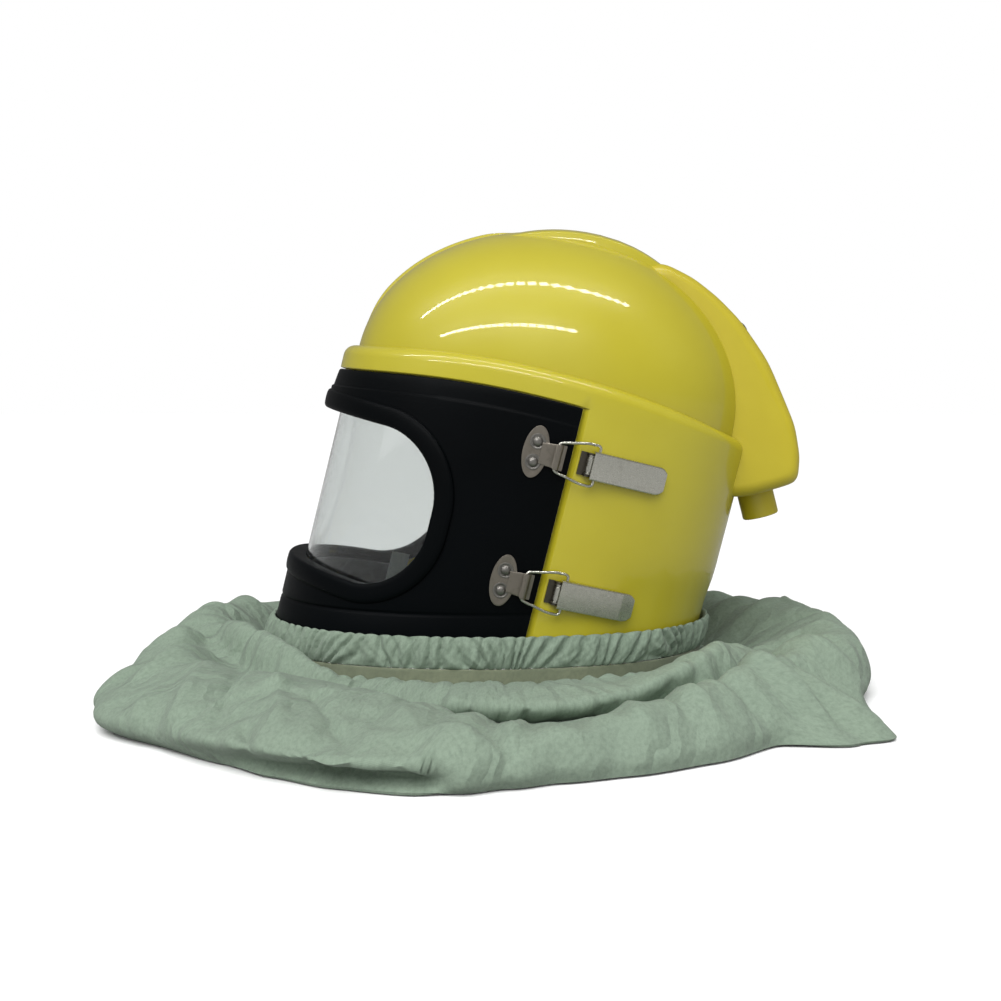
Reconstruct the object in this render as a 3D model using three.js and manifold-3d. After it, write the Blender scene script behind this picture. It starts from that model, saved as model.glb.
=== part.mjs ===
// Sandblasting hood: a tilted moulded helmet with visor and four draw latches,
// standing on its gathered cloth cape. Millimetres, +Z up, face towards -Y.
import * as THREE from 'three';
import { mergeVertices } from 'three/addons/utils/BufferGeometryUtils.js';
import Module from 'manifold-3d';

const wasm = await Module();
wasm.setup();

// Helmet driving sizes
const TILT_DEG = 14;             // the helmet leans back on its cape
const RIM_LEVEL = 55;            // top of the elastic band above the floor
const OVAL_HALF_LENGTH = 160;    // lower wall, fore and aft
const OVAL_HALF_WIDTH = 125;
const OVAL_POWER = 2.2;          // 2 is an ellipse, more is fuller
const WALL = 3;
const RIM_TUCK = 20;             // how far the helmet reaches down inside the band
const BROW_HEIGHT = 176;         // top of the brow roll above the rim, at front and back
const BROW_RISE = 15;            // extra height of the roll at the sides
const BROW_LEDGE = 10;           // ledge between the roll's face and the dome
const BROW_ROUND = 9;
const DOME_HEIGHT = 123;
const DOME_SHIFT = 8;            // crown point behind the oval's middle
const CREST_WIDTH = 84;
const CREST_LENGTH = 172;
const CREST_RISE = 4;
const KEEL_WIDTH = 18;
const KEEL_RISE = 2.5;

// Visor driving sizes
const FRAME_TOP = 156;           // frame's top edge above the rim, at the front
const FRAME_REAR = 23;           // its rear edge behind the oval's middle
const FRAME_THICK = 4.2;
const FRAME_PROUD = 3.2;         // bulge of the frame at the front
const POCKET_DEPTH = 4;
const POCKET_CLEARANCE = 0.5;
const WINDOW_TOP = 125;
const WINDOW_HEIGHT = 114;
const WINDOW_REAR = 61;          // window's rear end ahead of the oval's middle
const WINDOW_RADIUS = 50;
const SURROUND_WIDTH = 14;
const SURROUND_RISE = 2.2;
const LIP_DEPTH = 7.4;
const LENS_THICK = 1.8;
const LENS_LAP = 5;
const SHELL_OPENING_LAP = 11;
const SEAT_GAP = 0.3;

// Air housing and pipe
const HOUSING_WIDTH = 92;
const HOUSING_WALL = 3;
const PIPE_DIAMETER = 28;
const PIPE_BORE = 23;
const PIPE_LENGTH = 28;
const PIPE_LEAN_DEG = 14.5;
const BOLT_DIAMETER = 13;

// Draw latches
const LATCH_UPPER = 134;         // height of the upper pair's axis above the rim
const LATCH_LOWER = 41.5;
const PIVOT_REAR = 36;           // lever pivot behind the oval's middle
const PIVOT_HEIGHT = 5.5;
const BAIL_OFFSET = 5;           // bail pivot behind the lever pivot
const BAIL_LENGTH = 29;
const BAIL_WIRE = 2;
const BAIL_FRONT_WIDTH = 23;
const BAIL_REAR_WIDTH = 31;
const LEVER_WIDTH = 20;
const LEVER_LENGTH = 47;
const TAB_LENGTH = 10;
const SHEET = 1.2;
const PLATE_HEIGHT = 37;
const PLATE_WIDTH = 18;
const RIVET_PITCH = 14.5;
const RIVET_DIAMETER = 7;

// Cloth driving sizes
const BAND_HEIGHT = 22;
const BAND_THICK = 4;
const BAND_GATHERS = 36;
const TAPE_HEIGHT = 11.5;
const TAPE_THICK = 1.4;
const CAPE_REACH = 310;          // hem's distance from the middle
const CAPE_CLOTH = 2;
const CAPE_RISE = 50;            // height that the humps of the cape are shares of

const RAD = Math.PI / 180;
const TILT = TILT_DEG * RAD;
const smooth = (lo, hi, v) => {
  const t = Math.min(1, Math.max(0, (v - lo) / (hi - lo)));
  return t * t * (3 - 2 * t);
};
const mix = (a, b, t) => a + (b - a) * t;

// Manifold solids from closed meshes, and back
function toSolid(geometry) {
  const bare = geometry.clone();
  bare.deleteAttribute('normal');
  bare.deleteAttribute('uv');
  const merged = mergeVertices(bare, 1e-4);
  return new wasm.Manifold(new wasm.Mesh({
    numProp: 3,
    vertProperties: new Float32Array(merged.attributes.position.array),
    triVerts: new Uint32Array(merged.index.array),
  }));
}

function toGeometry(solid) {
  const mesh = solid.getMesh();
  const geometry = new THREE.BufferGeometry();
  geometry.setAttribute('position', new THREE.BufferAttribute(new Float32Array(mesh.vertProperties), 3));
  geometry.setIndex(new THREE.BufferAttribute(new Uint32Array(mesh.triVerts), 1));
  return geometry;
}

function indexed(points, faces) {
  const geometry = new THREE.BufferGeometry();
  geometry.setAttribute('position', new THREE.Float32BufferAttribute(points.flatMap((p) => [p.x, p.y, p.z]), 3));
  geometry.setIndex(faces);
  if (signedVolume(points, faces) < 0) {
    for (let i = 0; i < faces.length; i += 3) {
      [faces[i], faces[i + 1]] = [faces[i + 1], faces[i]];
    }
    geometry.setIndex(faces);
  }
  return geometry;
}

function signedVolume(points, faces) {
  let sum = 0;
  for (let i = 0; i < faces.length; i += 3) {
    const [a, b, c] = [points[faces[i]], points[faces[i + 1]], points[faces[i + 2]]];
    sum += a.dot(new THREE.Vector3().crossVectors(b, c));
  }
  return sum;
}

// Closed solid through a list of rings of equal length: ends are capped, or joined in a loop
function ringSolid(rings, { loop = false, apex = null } = {}) {
  const n = rings[0].length;
  const points = rings.flat();
  const faces = [];
  const spans = loop ? rings.length : rings.length - 1;
  for (let i = 0; i < spans; i += 1) {
    const next = (i + 1) % rings.length;
    for (let j = 0; j < n; j += 1) {
      const k = (j + 1) % n;
      faces.push(i * n + j, i * n + k, next * n + k, i * n + j, next * n + k, next * n + j);
    }
  }
  const fan = (start, centre, flip) => {
    points.push(centre);
    const c = points.length - 1;
    for (let j = 0; j < n; j += 1) {
      const k = (j + 1) % n;
      faces.push(...(flip ? [c, start + k, start + j] : [c, start + j, start + k]));
    }
  };
  const middle = (ring) => ring.reduce((s, p) => s.add(p), new THREE.Vector3()).divideScalar(n);
  if (!loop) {
    fan(0, middle(rings[0]), true);
    fan((rings.length - 1) * n, apex || middle(rings[rings.length - 1]), false);
  }
  return indexed(points, faces);
}

// The lower wall is an upright oval in the helmet's own tilted frame.
// Places on it are given by s, the way round from the front middle, and z, the height.
function makeOval(halfLength, halfWidth, power) {
  const steps = 1440;
  const at = (angle) => {
    const c = Math.cos(angle);
    const q = Math.sin(angle);
    return new THREE.Vector2(
      halfWidth * Math.sign(q) * Math.abs(q) ** (2 / power),
      -halfLength * Math.sign(c) * Math.abs(c) ** (2 / power),
    );
  };
  const samples = [at(0)];
  const lengths = [0];
  for (let i = 1; i <= steps; i += 1) {
    samples.push(at((i / steps) * Math.PI * 2));
    lengths.push(lengths[i - 1] + samples[i].distanceTo(samples[i - 1]));
  }
  const total = lengths[steps];
  const place = (s, offset = 0) => {
    const w = ((s % total) + total) % total;
    let lo = 0;
    let hi = steps;
    while (hi - lo > 1) {
      const m = (lo + hi) >> 1;
      if (lengths[m] <= w) lo = m;
      else hi = m;
    }
    const p = samples[lo].clone().lerp(samples[hi], (w - lengths[lo]) / (lengths[hi] - lengths[lo]));
    const nx = Math.sign(p.x) * Math.abs(p.x / halfWidth) ** (power - 1) / halfWidth;
    const ny = Math.sign(p.y) * Math.abs(p.y / halfLength) ** (power - 1) / halfLength;
    const size = Math.hypot(nx, ny);
    return { x: p.x + (nx / size) * offset, y: p.y + (ny / size) * offset, nx: nx / size, ny: ny / size };
  };
  const sAtY = (y) => {
    let i = 0;
    while (samples[i].y < y) i += 1;
    return mix(lengths[i - 1], lengths[i], (y - samples[i - 1].y) / (samples[i].y - samples[i - 1].y));
  };
  return { total, place, sAtY };
}
const oval = makeOval(OVAL_HALF_LENGTH, OVAL_HALF_WIDTH, OVAL_POWER);
const wallPoint = (s, z, offset) => {
  const p = oval.place(s, offset);
  return new THREE.Vector3(p.x, p.y, z);
};

// Heights in the tilted frame: a level plane of the world, the brow roll and the frame's top edge
const levelZ = (s, offset, level) => (level + oval.place(s, offset).y * Math.sin(TILT)) / Math.cos(TILT);
const sideRise = (s) => BROW_RISE * Math.abs(oval.place(s).x / OVAL_HALF_WIDTH) ** 3;
const browZ = (s) => BROW_HEIGHT + sideRise(s);
const frameTopZ = (s) => FRAME_TOP + sideRise(s);
const FRAME_S = oval.sAtY(FRAME_REAR);
const WINDOW_S = oval.sAtY(-WINDOW_REAR);

// A slab of wall over a stretch of the oval, between two offsets
function wallSlab({ stations, low, high, inner, outer, rows = [0, 1], loop = false }) {
  const rings = stations.map((s) => {
    const ring = [];
    for (const row of rows) {
      const t = typeof row === 'number' ? row : row.at;
      const out = outer(s, t);
      ring.push(wallPoint(s, mix(low(s, out), high(s, out), t), out));
    }
    for (const row of [...rows].reverse()) {
      const t = typeof row === 'number' ? row : row.at;
      const inn = inner(s, t);
      ring.push(wallPoint(s, mix(low(s, inn), high(s, inn), t), inn));
    }
    return ring;
  });
  return ringSolid(rings, { loop });
}
const spread = (from, to, count) => Array.from({ length: count + 1 }, (_, i) => mix(from, to, i / count));

// Rounded window outline, grown by a margin, as a pair of height functions of s
function windowShape(margin) {
  const half = WINDOW_S + margin;
  const radius = WINDOW_RADIUS + margin;
  const top = WINDOW_TOP + margin;
  const bottom = WINDOW_TOP - WINDOW_HEIGHT - margin;
  const inset = (s) => {
    const d = Math.max(0, Math.abs(s) - (half - radius));
    return radius - Math.sqrt(Math.max(0, radius * radius - d * d));
  };
  const arc = [0, 20, 40, 58, 76, 90].map((a) => half - radius + radius * Math.sin(a * RAD));
  const flat = spread(-(half - radius), half - radius, 6);
  const stations = [...arc.slice(1).reverse().map((s) => -s), ...flat, ...arc.slice(1)];
  return { stations, low: (s) => bottom + inset(s), high: (s) => top - inset(s) };
}
function windowSlab(margin, inner, outer) {
  const { stations, low, high } = windowShape(margin);
  return toSolid(wallSlab({ stations, low, high, inner: () => inner, outer: () => outer }));
}

// Shell: outer form, crest and keel joined on, hollowed, pocketed and opened
const DOME_BASE = -BROW_LEDGE;
function domePoint(s, up, shrink) {
  const base = oval.place(s, DOME_BASE - shrink);
  const z0 = browZ(s) - shrink * 0.3;
  const c = Math.cos(up);
  return new THREE.Vector3(
    base.x * c,
    mix(DOME_SHIFT, base.y, c),
    z0 + (BROW_HEIGHT + DOME_HEIGHT - shrink - z0) * Math.sin(up),
  );
}
const columns = (count) => Array.from({ length: count }, (_, i) => (i / count) * oval.total);

function shellOuter() {
  const around = columns(42);
  const rings = [around.map((s) => wallPoint(s, levelZ(s, 0, -RIM_TUCK), 0))];
  for (const a of [0, 45, 90]) {
    const drop = BROW_ROUND * (1 - Math.sin(a * RAD));
    const inset = BROW_ROUND * (1 - Math.cos(a * RAD));
    rings.push(around.map((s) => wallPoint(s, browZ(s) - drop, -inset)));
  }
  for (let a = 0; a < 90; a += 10) {
    rings.push(around.map((s) => domePoint(s, a * RAD, 0)));
  }
  return toSolid(ringSolid(rings, { apex: new THREE.Vector3(0, DOME_SHIFT, BROW_HEIGHT + DOME_HEIGHT) }));
}

function shellInner() {
  const around = columns(30);
  const behindFrame = (s) => {
    const way = Math.min(s, oval.total - s);
    return WALL + POCKET_DEPTH * (1 - smooth(FRAME_S + 4, FRAME_S + 14, way));
  };
  const below = RIM_TUCK + 20;
  const rings = [around.map((s) => wallPoint(s, levelZ(s, 0, -below), -behindFrame(s)))];
  rings.push(around.map((s) => wallPoint(s, browZ(s) - BROW_ROUND, -behindFrame(s))));
  for (let a = 0; a <= 75; a += 15) {
    rings.push(around.map((s) => domePoint(s, a * RAD, WALL)));
  }
  return toSolid(ringSolid(rings, { apex: new THREE.Vector3(0, DOME_SHIFT, BROW_HEIGHT + DOME_HEIGHT - WALL) }));
}

// Crest sections along the crown: place as a share of the length, height of the flat top
// over the dome's own crown line as a share of the rise, half width as a share
const CREST_ROWS = [
  { along: -0.5, rise: -1.6, width: 0.72 },
  { along: -0.38, rise: -0.3, width: 0.9 },
  { along: -0.2, rise: 0.6, width: 1 },
  { along: 0, rise: 1, width: 1 },
  { along: 0.2, rise: 0.9, width: 0.96 },
  { along: 0.38, rise: 0.1, width: 0.86 },
  { along: 0.5, rise: -1.5, width: 0.7 },
];
function crownZ(y) {
  const base = y < DOME_SHIFT ? -(OVAL_HALF_LENGTH - BROW_LEDGE) : OVAL_HALF_LENGTH - BROW_LEDGE;
  const c = Math.min(1, Math.abs((y - DOME_SHIFT) / (base - DOME_SHIFT)));
  return BROW_HEIGHT + DOME_HEIGHT * Math.sqrt(1 - c * c);
}
function crestSolid() {
  const depth = 40;
  const crown = 0.12;
  const rings = CREST_ROWS.map((row) => {
    const y = DOME_SHIFT + row.along * CREST_LENGTH;
    const top = crownZ(y) + row.rise * CREST_RISE;
    const half = (row.width * CREST_WIDTH) / 2;
    const ring = [-1, -0.5, 0, 0.5, 1].map((u) => (
      new THREE.Vector3(u * half, y, top - crown * half * u * u)));
    ring.push(new THREE.Vector3(half + 3, y, top - depth), new THREE.Vector3(-half - 3, y, top - depth));
    return ring;
  });
  return toSolid(ringSolid(rings));
}
function keelSolid() {
  const rings = [];
  for (const a of [8, 20, 32, 44, 56, 68]) {
    const c = Math.cos(a * RAD);
    const fade = smooth(4, 24, a) * KEEL_RISE;
    const y = mix(DOME_SHIFT, -(OVAL_HALF_LENGTH - BROW_LEDGE), c);
    const z = BROW_HEIGHT + DOME_HEIGHT * Math.sin(a * RAD);
    const [ny, nz] = [-c, Math.sin(a * RAD)];
    const half = KEEL_WIDTH / 2;
    rings.push([[-half, fade - 0.6], [-half + 2, fade], [half - 2, fade], [half, fade - 0.6], [half, -12], [-half, -12]]
      .map(([x, out]) => new THREE.Vector3(x, y + ny * out, z + nz * out)));
  }
  return toSolid(ringSolid(rings));
}

function pocketSolid() {
  const reach = FRAME_S + POCKET_CLEARANCE;
  const flange = 3.5;
  const stations = spread(-1, 1, 28);
  const rings = stations.map((u) => [-POCKET_DEPTH, 0, 14].flatMap((offset) => {
    const s = u * (reach + flange * smooth(-POCKET_DEPTH, 0, offset));
    return [{ s, offset, z: levelZ(s, 0, -RIM_TUCK) - 30 }];
  }).concat([14, 0, -POCKET_DEPTH].map((offset) => {
    const s = u * (reach + flange * smooth(-POCKET_DEPTH, 0, offset));
    return { s, offset, z: frameTopZ(s) + POCKET_CLEARANCE };
  })).map((q) => wallPoint(q.s, q.z, q.offset)));
  return toSolid(ringSolid(rings));
}

function shellSolid() {
  return shellOuter()
    .add(crestSolid())
    .add(keelSolid())
    .subtract(shellInner())
    .subtract(pocketSolid())
    .subtract(windowSlab(SHELL_OPENING_LAP, -POCKET_DEPTH - WALL - 8, 14));
}

// Visor frame: base band with steps, lip, surround, and the window cut through
const FRAME_ROWS = [
  { from: 'bottom', by: 0, proud: 0.9 },
  { from: 'bottom', by: RIM_TUCK + 15, proud: 1 },
  { from: 'bottom', by: RIM_TUCK + 17, proud: 0.7 },
  { from: 'bottom', by: RIM_TUCK + 19, proud: 1 },
  { from: 'top', by: 14, proud: 0.85 },
  { from: 'top', by: 12.5, proud: 0.45 },
  { from: 'top', by: 1.5, proud: 0 },
  { from: 'top', by: 0, proud: -0.4 },
];
const frameBulge = (s) => mix(1, 0.28, smooth(0.35 * FRAME_S, FRAME_S, Math.abs(s)));
const frameInner = -POCKET_DEPTH + SEAT_GAP;
const frameFace = frameInner + FRAME_THICK;

function frameSolid() {
  const stations = spread(-FRAME_S, FRAME_S, 28);
  const rings = stations.map((s) => {
    const low = levelZ(s, 0, -RIM_TUCK);
    const outerRow = FRAME_ROWS.map((row) => {
      const z = row.from === 'top' ? frameTopZ(s) - row.by : low + row.by;
      return wallPoint(s, z, frameFace + row.proud * FRAME_PROUD * frameBulge(s));
    });
    const innerRow = [frameTopZ(s), low].map((z) => wallPoint(s, z, frameInner));
    return [...outerRow, ...innerRow];
  });
  const face = frameFace + FRAME_PROUD * 0.9;
  return toSolid(ringSolid(rings))
    .add(windowSlab(SURROUND_WIDTH, -1, face + SURROUND_RISE))
    .add(windowSlab(LENS_LAP + 1, -LIP_DEPTH, 0))
    .subtract(windowSlab(0, -LIP_DEPTH - 10, 16));
}

function lensSolid() {
  return windowSlab(LENS_LAP, -LIP_DEPTH - SEAT_GAP - LENS_THICK, -LIP_DEPTH - SEAT_GAP);
}

// Liner and strap inside, below the window
function linerSolid() {
  const thick = 9;
  const outer = -POCKET_DEPTH - WALL - 4 * SEAT_GAP;
  const high = WINDOW_TOP - WINDOW_HEIGHT - SHELL_OPENING_LAP - 3;
  return toSolid(wallSlab({
    stations: spread(-WINDOW_S, WINDOW_S, 16),
    low: (s) => levelZ(s, 0, -RIM_TUCK + 2),
    high: () => high,
    rows: [0, 0.4, 1],
    inner: (s, t) => outer - thick * (0.55 + 0.45 * Math.sin(t * Math.PI)),
    outer: () => outer,
  }));
}
function strapSolid() {
  const width = 18;
  const linerFace = -POCKET_DEPTH - WALL - 5 * SEAT_GAP - 9;
  const middle = -WINDOW_S + 34;
  return toSolid(wallSlab({
    stations: spread(middle - width / 2, middle + width / 2, 3),
    low: (s) => levelZ(s, 0, -RIM_TUCK + 4),
    high: () => WINDOW_TOP - WINDOW_HEIGHT + 4,
    rows: [0, 0.5, 1],
    inner: () => linerFace - 1.6,
    outer: () => linerFace,
  }));
}

// Air housing: side profile from the crown down to the pipe, in world mm about the rim's middle
const HOUSING_PROFILE = [
  { back: 60, up: 250 },
  { back: 122, up: 271 },
  { back: 134, up: 270 },
  { back: 155, up: 260 },
  { back: 174, up: 246 },
  { back: 192, up: 228 },
  { back: 213, up: 198 },
  { back: 226, up: 167 },
  { back: 233, up: 147 },
  { back: 236, up: 122 },
  { back: 234, up: 107 },
  { back: 229, up: 102 },
  { back: 190, up: 91 },
  { back: 150, up: 96 },
];
const PIPE_TOP = { back: 205, up: 97 };
function housingBlock(inset) {
  const bevel = 12 - inset;
  const shape = new THREE.Shape();
  const middle = { back: 170, up: 170 };
  HOUSING_PROFILE.forEach((p, i) => {
    const away = new THREE.Vector2(p.back - middle.back, p.up - middle.up).normalize();
    const x = p.back - away.x * (inset + bevel);
    const y = p.up - away.y * (inset + bevel);
    if (i === 0) shape.moveTo(x, y);
    else shape.lineTo(x, y);
  });
  const depth = HOUSING_WIDTH - 2 * inset - 2 * bevel;
  const block = new THREE.ExtrudeGeometry(shape, {
    depth, bevelEnabled: true, bevelThickness: bevel, bevelSize: bevel, bevelSegments: 1, steps: 1,
  });
  block.translate(0, 0, -depth / 2);
  block.applyMatrix4(new THREE.Matrix4().set(0, 0, 1, 0, 1, 0, 0, 0, 0, 1, 0, 0, 0, 0, 0, 1));
  return toSolid(block);
}
function turnedX(solid, angle) {
  return toSolid(toGeometry(solid).applyMatrix4(new THREE.Matrix4().makeRotationX(angle)));
}
function pipeLathe(outer, bore, length) {
  const profile = [[bore, 0], [outer, 0], [outer, length], [bore, length], [bore, 0]];
  const points = bore > 0 ? profile : [[0, 0], [outer, 0], [outer, length], [0, length]];
  const lathe = new THREE.LatheGeometry(points.map(([r, h]) => new THREE.Vector2(r, h)), 24);
  lathe.rotateX(-Math.PI / 2);
  lathe.rotateX(PIPE_LEAN_DEG * RAD);
  return lathe;
}
function pipeSolid(outer, bore, length, start) {
  const lean = PIPE_LEAN_DEG * RAD;
  const geometry = pipeLathe(outer, bore, length);
  geometry.translate(0, PIPE_TOP.back - start * Math.sin(lean), PIPE_TOP.up + start * Math.cos(lean));
  return toSolid(geometry);
}
function housingSolid(shellKeepOut) {
  return housingBlock(0)
    .subtract(housingBlock(HOUSING_WALL))
    .subtract(pipeSolid(PIPE_DIAMETER / 2 + SEAT_GAP, 0, 60, 20))
    .subtract(shellKeepOut);
}
function boltSolid() {
  const [a, b] = [HOUSING_PROFILE[5], HOUSING_PROFILE[6]];
  const along = new THREE.Vector2(b.back - a.back, b.up - a.up).normalize();
  const seat = new THREE.Vector2(mix(a.back, b.back, 0.2), mix(a.up, b.up, 0.2));
  const r = BOLT_DIAMETER / 2;
  const profile = [[0, -4], [r, -4], [r, 2], [r * 0.8, 4], [r * 0.45, 5.2], [0, 5.6]];
  const lathe = new THREE.LatheGeometry(profile.map(([x, y]) => new THREE.Vector2(x, y)), 16);
  const out = new THREE.Vector3(0, -along.y, along.x);
  lathe.applyQuaternion(new THREE.Quaternion().setFromUnitVectors(new THREE.Vector3(0, 1, 0), out));
  lathe.translate(0, seat.x + out.y * 2, seat.y + out.z * 2);
  return toSolid(lathe).subtract(housingBlock(-SEAT_GAP));
}

// Latch pieces in the latch's own frame: x forwards, y outwards, z along the pin
function slab(outline, thickness, zMiddle = 0) {
  const shape = new THREE.Shape(outline.map(([x, y]) => new THREE.Vector2(x, y)));
  const geometry = new THREE.ExtrudeGeometry(shape, { depth: thickness, bevelEnabled: false });
  geometry.translate(0, 0, zMiddle - thickness / 2);
  return toSolid(geometry);
}
function stripOutline(path, thickness) {
  const left = [];
  const right = [];
  path.forEach(([x, y], i) => {
    const [px, py] = path[Math.max(0, i - 1)];
    const [qx, qy] = path[Math.min(path.length - 1, i + 1)];
    const size = Math.hypot(qx - px, qy - py);
    const [nx, ny] = [-(qy - py) / size, (qx - px) / size];
    left.push([x + (nx * thickness) / 2, y + (ny * thickness) / 2]);
    right.unshift([x - (nx * thickness) / 2, y - (ny * thickness) / 2]);
  });
  return [...left, ...right];
}
const LEVER_SLOPE = Math.tan(11 * RAD);
const TAB_SLOPE = Math.tan(24 * RAD);
const leverTop = PIVOT_HEIGHT + 3.6;
function leverPath() {
  const front = [-1, leverTop];
  const bend = [front[0] - LEVER_LENGTH, leverTop - LEVER_LENGTH * LEVER_SLOPE];
  const tip = [bend[0] - TAB_LENGTH, bend[1] - TAB_LENGTH * TAB_SLOPE];
  return [front, bend, tip];
}
function leverSolid() {
  const flange = 4;
  const [front, bend] = leverPath();
  const side = [
    [2.2, leverTop - 1.2], [front[0], leverTop], [bend[0] + 2, bend[1] + 2 * LEVER_SLOPE],
    [bend[0] + 5, bend[1] - flange + 2], [-12, leverTop - 12 * LEVER_SLOPE - flange],
    [-BAIL_OFFSET - 2.2, PIVOT_HEIGHT - 2.6], [1.6, PIVOT_HEIGHT - 2.2], [3, PIVOT_HEIGHT],
  ];
  const zFlange = LEVER_WIDTH / 2 - SHEET / 2;
  return slab(stripOutline(leverPath(), SHEET), LEVER_WIDTH)
    .add(slab(side, SHEET, zFlange))
    .add(slab(side, SHEET, -zFlange));
}
const EAR_Z = LEVER_WIDTH / 2 - SHEET - SEAT_GAP - SHEET / 2 - 0.2;
function baseSolid() {
  const foot = [[-30, SEAT_GAP - 2.2], [-30, SEAT_GAP - 1], [-9, 1.6], [7, 1.6], [7, SEAT_GAP], [-9, SEAT_GAP]];
  const ear = [[-3.5, 1], [-2.6, PIVOT_HEIGHT + 1.4], [0, PIVOT_HEIGHT + 2.2], [2.4, PIVOT_HEIGHT + 1.4], [3.4, 1]];
  const pin = new THREE.CylinderGeometry(1.7, 1.7, 2 * EAR_Z + SHEET, 10);
  pin.rotateX(Math.PI / 2);
  pin.translate(0, PIVOT_HEIGHT, 0);
  return slab(foot, 2 * EAR_Z + SHEET)
    .add(slab(ear, SHEET, EAR_Z))
    .add(slab(ear, SHEET, -EAR_Z))
    .add(toSolid(pin));
}
const BAIL_PIVOT = [-BAIL_OFFSET, PIVOT_HEIGHT];
const HOOK_Y = 4.2;
const BAIL_FRONT_X = BAIL_PIVOT[0] + Math.sqrt(BAIL_LENGTH ** 2 - (PIVOT_HEIGHT - HOOK_Y) ** 2);
function bailGeometry() {
  const front = BAIL_FRONT_WIDTH / 2 - BAIL_WIRE / 2;
  const rear = BAIL_REAR_WIDTH / 2 - BAIL_WIRE / 2;
  const tip = LEVER_WIDTH / 2 + SEAT_GAP;
  const corner = 3;
  const V = (x, y, z) => new THREE.Vector3(x, y, z);
  const path = new THREE.CurvePath();
  const half = [
    V(BAIL_PIVOT[0], BAIL_PIVOT[1], tip),
    V(BAIL_PIVOT[0], BAIL_PIVOT[1], rear - corner),
    V(BAIL_PIVOT[0] + corner, BAIL_PIVOT[1], rear),
    V(BAIL_PIVOT[0] + corner + 5, BAIL_PIVOT[1], rear),
    V(BAIL_FRONT_X - corner - 4, HOOK_Y + 0.3, front + 0.6),
    V(BAIL_FRONT_X - corner, HOOK_Y, front),
    V(BAIL_FRONT_X, HOOK_Y, front - corner),
  ];
  const ctrl = (p, q) => p.clone().add(q).multiplyScalar(0.5);
  const line = (a, b) => path.add(new THREE.LineCurve3(a, b));
  const round = (a, c, b) => path.add(new THREE.QuadraticBezierCurve3(a, c, b));
  const build = (h) => {
    line(h[0], h[1]);
    round(h[1], V(h[1].x, h[1].y, h[2].z), h[2]);
    round(h[2], ctrl(h[2], h[3]), h[3]);
    round(h[3], ctrl(h[3], h[4]), h[4]);
    round(h[4], ctrl(h[4], h[5]), h[5]);
    round(h[5], V(h[6].x, h[6].y, h[5].z), h[6]);
  };
  build(half);
  const other = half.map((p) => V(p.x, p.y, -p.z)).reverse();
  line(half[6], other[0]);
  round(other[0], V(other[0].x, other[0].y, other[1].z), other[1]);
  round(other[1], ctrl(other[1], other[2]), other[2]);
  round(other[2], ctrl(other[2], other[3]), other[3]);
  round(other[3], ctrl(other[3], other[4]), other[4]);
  round(other[4], V(other[5].x, other[5].y, other[4].z), other[5]);
  line(other[5], other[6]);
  return sweptWire(path.getSpacedPoints(26), BAIL_WIRE / 2, 5);
}
function sweptWire(points, radius, sides) {
  let normal = new THREE.Vector3(0, 1, 0);
  const rings = points.map((p, i) => {
    const tangent = points[Math.min(points.length - 1, i + 1)].clone().sub(points[Math.max(0, i - 1)]).normalize();
    normal = normal.clone().addScaledVector(tangent, -normal.dot(tangent)).normalize();
    const side = new THREE.Vector3().crossVectors(tangent, normal);
    return Array.from({ length: sides }, (_, k) => {
      const a = (k / sides) * Math.PI * 2;
      return p.clone().addScaledVector(normal, Math.cos(a) * radius).addScaledVector(side, Math.sin(a) * radius);
    });
  });
  return ringSolid(rings);
}
// Catch plate with its hook: x, y from the plate's own middle
function catchSolid(hookX, hookY) {
  const half = PLATE_WIDTH / 2;
  const oval2 = new THREE.Shape();
  oval2.absellipse(0, 0, half, PLATE_HEIGHT / 2, 0, Math.PI * 2);
  const plate = new THREE.ExtrudeGeometry(oval2, { depth: SHEET, bevelEnabled: false, curveSegments: 8 });
  plate.rotateX(Math.PI / 2);
  plate.translate(0, SHEET + SEAT_GAP, 0);
  const r = BAIL_WIRE / 2;
  const back = hookX - r - 3 * SEAT_GAP - SHEET / 2;
  const roof = hookY + r + 2.4 + SHEET / 2;
  const floor = SEAT_GAP + SHEET / 2;
  const path = [[-half + 3, floor], [back + 1.2, floor], [back, floor + 1.2], [back, roof - 1.2], [back + 1.2, roof], [hookX + 1.6, roof]];
  return toSolid(plate).add(slab(stripOutline(path, SHEET), 18));
}
function rivetSolid() {
  const r = RIVET_DIAMETER / 2;
  const flange = 5.6;
  const base = SHEET + 2 * SEAT_GAP;
  const profile = [[0, base], [flange, base], [flange, base + 0.6], [r, base + 0.7], [r * 0.7, base + 2], [0, base + 2.6]];
  return new THREE.LatheGeometry(profile.map(([x, y]) => new THREE.Vector2(x, y)), 8);
}

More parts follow.
